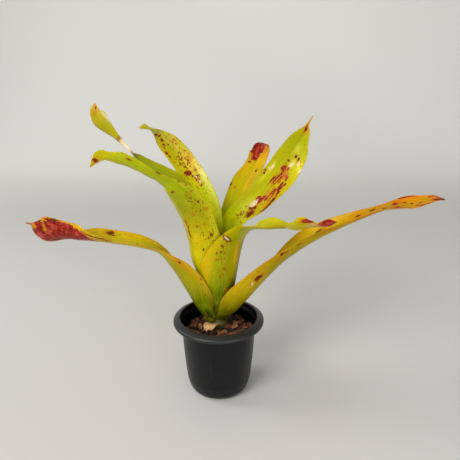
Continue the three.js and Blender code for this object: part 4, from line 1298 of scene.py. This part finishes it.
def make_spines(name, margins, settings, tree, finish_material, seed):
    """The spines along a leaf's two margins."""
    points, edges, outward = [], [], []
    for line, aim in margins:
        begin = len(points)
        points.extend((line * MM).tolist())
        outward.extend(aim.tolist())
        edges.extend((begin + k, begin + k + 1) for k in range(len(line) - 1))
    mesh = bpy.data.meshes.new(name)
    mesh.from_pydata(points, edges, [])
    store(mesh, "outward", "FLOAT_VECTOR", "vector", np.array(outward))
    made = show(name, mesh)
    run_tree(made, tree, {"Step": settings.spine_step, "Length": settings.spine, "Seed": seed,
                          "Finish": finish_material})
    return settle(made, name)


# ---- turned bodies ----

def rounded(profile, reach, steps=5):
    """Rounds the corners of a line of (radius, height) points, up to reach from each corner."""
    points = [np.array(profile[0], float)]
    for before, corner, after in zip(profile, profile[1:], profile[2:]):
        before, corner, after = (np.array(p, float) for p in (before, corner, after))
        back, ahead = before - corner, after - corner
        cut = min(reach, 0.42 * np.linalg.norm(back), 0.42 * np.linalg.norm(ahead))
        start, end = corner + unit(back) * cut, corner + unit(ahead) * cut
        for s in np.linspace(0, 1, steps):
            points.append((1 - s) ** 2 * start + 2 * s * (1 - s) * corner + s * s * end)
    points.append(np.array(profile[-1], float))
    return points


def turned_body(name, profile, sides, material, place=(0.0, 0.0)):
    """A closed body turned from a profile in millimetres; all such bodies share one node tree."""
    tree = bpy.data.node_groups.get("turned body") or turned_tree()
    mesh = bpy.data.meshes.new(name)
    mesh.from_pydata([(r * MM, 0, z * MM) for r, z in profile],
                     [(k, k + 1) for k in range(len(profile) - 1)], [])
    made = show(name, mesh)
    run_tree(made, tree, {"Sides": sides, "Finish": material})
    settle(made, name)
    made.data.transform(Matrix.Translation((place[0] * MM, place[1] * MM, 0)))
    smooth_all(made.data)
    need_outward(made)
    return made


class NEO_OT_pot(bpy.types.Operator):
    """Makes the nursery pot with its turned-down lip and drain holes"""

    bl_idname = "neoregelia.pot"
    bl_label = "Nursery pot"

    def execute(self, context):
        settings = context.scene.neo_pot
        plastic = plastic_finish(settings)
        pot = turned_body("nursery_pot", rounded(POT_PROFILE, 0.9), settings.sides, plastic)
        run_tree(pot, drilled_tree(), {
            "Holes": settings.holes, "Hole radius": settings.hole_radius, "Ring radius": settings.hole_ring,
            "Depth": DRILL_DEPTH * MM, "Finish": plastic})
        settle(pot, "nursery_pot")
        need_outward(pot)
        finish(pot, "pot_plastic", "pot")
        return {"FINISHED"}


def bare_places(x, y):
    """Where no loose chip lies: round the stem's foot and under the dry leaf base."""
    crown = ease(13.5, 11.0, np.hypot(x - CROWN[0], y - CROWN[1]))
    dry = ease(8.5, 6.5, np.hypot(x - DRY_BASE["place"][0], y - DRY_BASE["place"][1]))
    return np.clip(crown + dry, 0, 1)


def keep_inside_pot(mesh):
    """Presses the loose chips in where they would pass through the pot's wall."""
    points = points_of(mesh)
    reach = np.hypot(points[:, 0], points[:, 1])
    points[:, :2] *= np.minimum(1, CHIP_REACH * MM / np.maximum(reach, MM))[:, None]
    move_points(mesh, points)


def bark_slab(name, length, width, thick, place, turn, tilt, roll, seed, material):
    """One large bark chip with broken ends and a layered, splintered surface."""
    u, v = np.meshgrid(*(np.linspace(-1, 1, count + 1) for count in SLAB_FACETS), indexing="ij")
    ends = (1 + 0.10 * patches(v * 30, 0 * v, 9, seed) * (u > 0)
            + 0.10 * patches(v * 30, 0 * v, 7, seed + 1) * (u < 0))
    sides = (1 + 0.16 * patches(u * 30, 0 * u, 10, seed + 2) * (v > 0)
             + 0.16 * patches(u * 30, 0 * u, 12, seed + 3) * (v < 0))
    taper = 1 - 0.28 * np.abs(u) ** 3
    x, y = u * ends * length / 2, v * sides * taper * width / 2
    layers = np.round(patches(x, y * 2.4, 6, seed + 4) * 2.5) / 2.5
    rounding = np.sqrt(np.clip(1 - 0.85 * np.maximum(np.abs(u) ** 6, np.abs(v) ** 4), 0.06, 1))
    top = (thick / 2) * rounding + 0.35 * layers * rounding + 0.30 * patches(x, y * 3, 2.2, seed + 5)
    base = -(thick / 2) * rounding + 0.25 * patches(x, y * 3, 3.0, seed + 6)
    upper, lower = np.stack([x, y, np.maximum(top, base + 0.3)], -1), np.stack([x, y, base], -1)
    made = thin_body(name, upper, lower, material, flipped=True)
    shade = 0.60 + 0.35 * patches(x, y * 2.4, 6, seed + 4) + 0.25 * patches(x, y * 3, 3, seed + 7)
    store(made.data, "shade", "FLOAT", "value", np.concatenate([shade.ravel(), shade.ravel() * 0.5]))
    set_down = Matrix.Translation(Vector(place) * MM)
    for angle, axis in ((turn, "Z"), (tilt, "Y"), (roll, "X")):
        set_down = set_down @ Matrix.Rotation(math.radians(angle), 4, axis)
    made.data.transform(set_down)
    return made


class NEO_OT_mix(bpy.types.Operator):
    """Makes the growing mix: its bed, the scattered bark chips and the large ones"""

    bl_idname = "neoregelia.mix"
    bl_label = "Growing mix"

    def execute(self, context):
        settings = context.scene.neo_mix
        bed = turned_body("mix_bed", rounded(MIX_PROFILE, 0.6, 3), BED_SIDES,
                          bark_finish("compost", settings, 0.42))
        points = points_of(bed.data)
        x, y = points[:, 0] / MM, points[:, 1] / MM
        rise = ease(56 * MM, 60 * MM, points[:, 2]) * ease(34, 31, np.hypot(x, y))
        points[:, 2] += (0.9 * patches(x, y, 3.5, 3) + 0.9 * patches(x, y, 8, 4)) * MM * rise
        move_points(bed.data, points)

        rings, around = CHIP_FIELD["rings"], CHIP_FIELD["around"]
        radius, angle = np.meshgrid(np.linspace(CHIP_FIELD["inner"], CHIP_FIELD["outer"], rings + 1),
                                    np.linspace(0, 2 * math.pi, around + 1), indexing="ij")
        x, y = radius * np.cos(angle), radius * np.sin(angle)
        height = (CHIP_FIELD["height"] + 0.9 * patches(x, y, 8, 4)
                  - 1.2 * ease(20, 12, np.hypot(x - CROWN[0], y - CROWN[1])))
        wide = around + 1
        faces = [(i * wide + j, i * wide + j + 1, (i + 1) * wide + j + 1, (i + 1) * wide + j)
                 for i in range(rings) for j in range(around)]
        bark = bark_finish("bark", settings, "shade")
        chips = new_object("loose_bark", np.stack([x, y, height], -1).reshape(-1, 3) * MM, faces, bark)
        store(chips.data, "bare", "FLOAT", "value", bare_places(x, y).ravel())
        run_tree(chips, chips_tree(), {"Spacing": settings.spacing, "Chip length": settings.chip,
                                       "Seed": settings.seed, "Finish": bark})
        settle(chips, "loose_bark")
        keep_inside_pot(chips.data)
        finish(bed, "bark", "bark_mix")
        finish(chips, "bark")
        for k, slab in enumerate(SLABS):
            finish(bark_slab("large_chip_%d" % (k + 1), *slab, bark), "bark")
        return {"FINISHED"}


class NEO_OT_stem(bpy.types.Operator):
    """Makes the short stem with the rings that old leaves left"""

    bl_idname = "neoregelia.stem"
    bl_label = "Stem"

    def execute(self, context):
        stem = turned_body("ringed_stem", rounded(STEM_PROFILE, 0.5, 4), STEM_SIDES, stem_finish(), CROWN[:2])
        finish(stem, "stem_tissue", "stem")
        return {"FINISHED"}


class NEO_OT_dry_base(bpy.types.Operator):
    """Makes the torn dry base of an old leaf"""

    bl_idname = "neoregelia.dry_base"
    bl_label = "Dry leaf base"

    def execute(self, context):
        rows = blade_rows(LEAF_FORMS["dry_leaf_base"], DRY_BASE["row_step"])
        across = np.linspace(-1, 1, DRY_BASE["columns"] + 1)[None]
        length = rows["length"][:, None] + 0 * across
        total = rows["length"][-1]
        width = rows["half"][:, None] * across
        surface, spoke = curled_surface(rows, across)
        torn = 1 - 0.20 * (0.5 + 0.5 * patches(across * 10, 0 * across, 0.9, 5)) - 0.06 * across ** 2
        place = length * torn
        flat = np.stack([np.stack([np.interp(place[:, j], rows["length"], surface[:, j, k])
                                   for k in range(3)], 1) for j in range(across.size)], 1)
        ruffle = 0.5 * patches(width * 1.6, length * 0.4, 1.6, 8) + 0.45 * patches(width, length, 4.5, 9)
        flat = flat - spoke * (ruffle * ease(0, 4, length))[..., None]
        thick = 0.35 + 1.1 * (1 - np.abs(across) ** 3) * ease(total, 0.45 * total, length)
        upper, lower = flat - spoke * (0.5 * thick)[..., None], flat + spoke * (0.5 * thick)[..., None]
        made = thin_body("torn_leaf_base", upper, lower, dry_finish())
        write_uv(made.data, width, length)
        finish(made, "dry_leaf", "dry_leaf_base")
        return {"FINISHED"}


class NEO_OT_leaves(bpy.types.Operator):
    """Makes every leaf with its colours and the spines along its margins"""

    bl_idname = "neoregelia.leaves"
    bl_label = "Leaves"

    def execute(self, context):
        settings = context.scene.neo_leaves
        skin = leaf_finish(settings)
        horn = spine_finish()
        tree = spines_tree()
        for name, form in LEAF_FORMS.items():
            if "wrap" not in form:
                continue
            leaf, margins = make_leaf(name, form, settings, skin)
            finish(leaf, name + "_skin", name)
            spines = make_spines(name + "_spines", margins, settings, tree, horn, form["order"])
            finish(spines, name + "_skin")
        return {"FINISHED"}


def area_light(name, place, target, size, power, tint):
    """A soft square light aimed at a point."""
    light = bpy.data.lights.new(name, "AREA")
    light.shape = "SQUARE"
    light.size = size
    light.energy = power
    light.color = tint
    made = show(name, light)
    made.location = place
    made.rotation_euler = (Vector(target) - Vector(place)).to_track_quat("-Z", "Y").to_euler()


class NEO_OT_stage(bpy.types.Operator):
    """Makes the seamless backdrop, the soft lights and the camera"""

    bl_idname = "neoregelia.stage"
    bl_label = "Stage"

    def execute(self, context):
        settings = context.scene.neo_stage
        scene = context.scene
        bend, radius, half_width = SWEEP["bend"], SWEEP["radius"], SWEEP["half_width"]
        steps = [(SWEEP["front"], 0.0), (bend, 0.0)]
        steps += [(bend + radius * math.sin(a), radius - radius * math.cos(a))
                  for a in np.linspace(0.13, math.pi / 2, SWEEP["steps"])]
        steps += [(bend + radius, SWEEP["top"])]
        points = [(x, y, z) for y, z in steps for x in (-half_width, half_width)]
        faces = [(2 * k, 2 * k + 1, 2 * k + 3, 2 * k + 2) for k in range(len(steps) - 1)]
        new_object("backdrop", points, faces, backdrop_finish(settings))

        camera = bpy.data.cameras.new("camera")
        camera.lens = settings.lens
        camera.sensor_width = 36
        camera.sensor_fit = "HORIZONTAL"
        camera.clip_start = 0.01
        camera.dof.use_dof = False
        view = show("camera", camera)
        view.location = settings.camera_place
        view.rotation_euler = (math.pi / 2 - settings.camera_tilt, 0, 0)
        scene.camera = view

        for name, place, target, size, power, tint in LIGHTS:
            area_light(name, place, target, size, getattr(settings, power), tint)
        world = bpy.data.worlds.new("even light")
        world.use_nodes = True
        sky = world.node_tree.nodes["Background"]
        sky.inputs["Color"].default_value = (1.0, 1.0, 0.985, 1)
        sky.inputs["Strength"].default_value = settings.sky
        scene.world = world
        scene.view_settings.view_transform = "Standard"
        return {"FINISHED"}


class NEO_PT_panel(bpy.types.Panel):
    """Lists the pieces and their settings"""

    bl_idname = "NEO_PT_panel"
    bl_label = "Potted neoregelia"
    bl_space_type = "VIEW_3D"
    bl_region_type = "UI"
    bl_category = "Neoregelia"

    def draw(self, context):
        for operator, group in zip(OPERATORS, PANEL_GROUPS):
            box = self.layout.box()
            box.operator(operator.bl_idname)
            if group:
                settings = getattr(context.scene, group)
                for label in settings.bl_rna.properties.keys():
                    if label not in ("rna_type", "name"):
                        box.prop(settings, label)


OPERATORS = (NEO_OT_pot, NEO_OT_mix, NEO_OT_stem, NEO_OT_dry_base, NEO_OT_leaves, NEO_OT_stage)
PANEL_GROUPS = ("neo_pot", "neo_mix", "", "", "neo_leaves", "neo_stage")
SETTINGS = {"neo_pot": PotSettings, "neo_mix": MixSettings, "neo_leaves": LeafSettings,
            "neo_stage": StageSettings}


def register():
    """Makes the settings, the operators and the panel known to Blender."""
    for group in SETTINGS.values():
        bpy.utils.register_class(group)
    for name, group in SETTINGS.items():
        setattr(bpy.types.Scene, name, PointerProperty(type=group))
    for operator in OPERATORS:
        bpy.utils.register_class(operator)
    bpy.utils.register_class(NEO_PT_panel)


def unregister():
    """Takes the panel, the operators and the settings back out of Blender."""
    bpy.utils.unregister_class(NEO_PT_panel)
    for operator in reversed(OPERATORS):
        bpy.utils.unregister_class(operator)
    for name in SETTINGS:
        delattr(bpy.types.Scene, name)
    for group in reversed(SETTINGS.values()):
        bpy.utils.unregister_class(group)


def main():
    """Builds the stage and every piece."""
    register()
    bpy.ops.neoregelia.stage()
    bpy.ops.neoregelia.pot()
    bpy.ops.neoregelia.mix()
    bpy.ops.neoregelia.stem()
    bpy.ops.neoregelia.dry_base()
    bpy.ops.neoregelia.leaves()


if __name__ == "__main__":
    main()
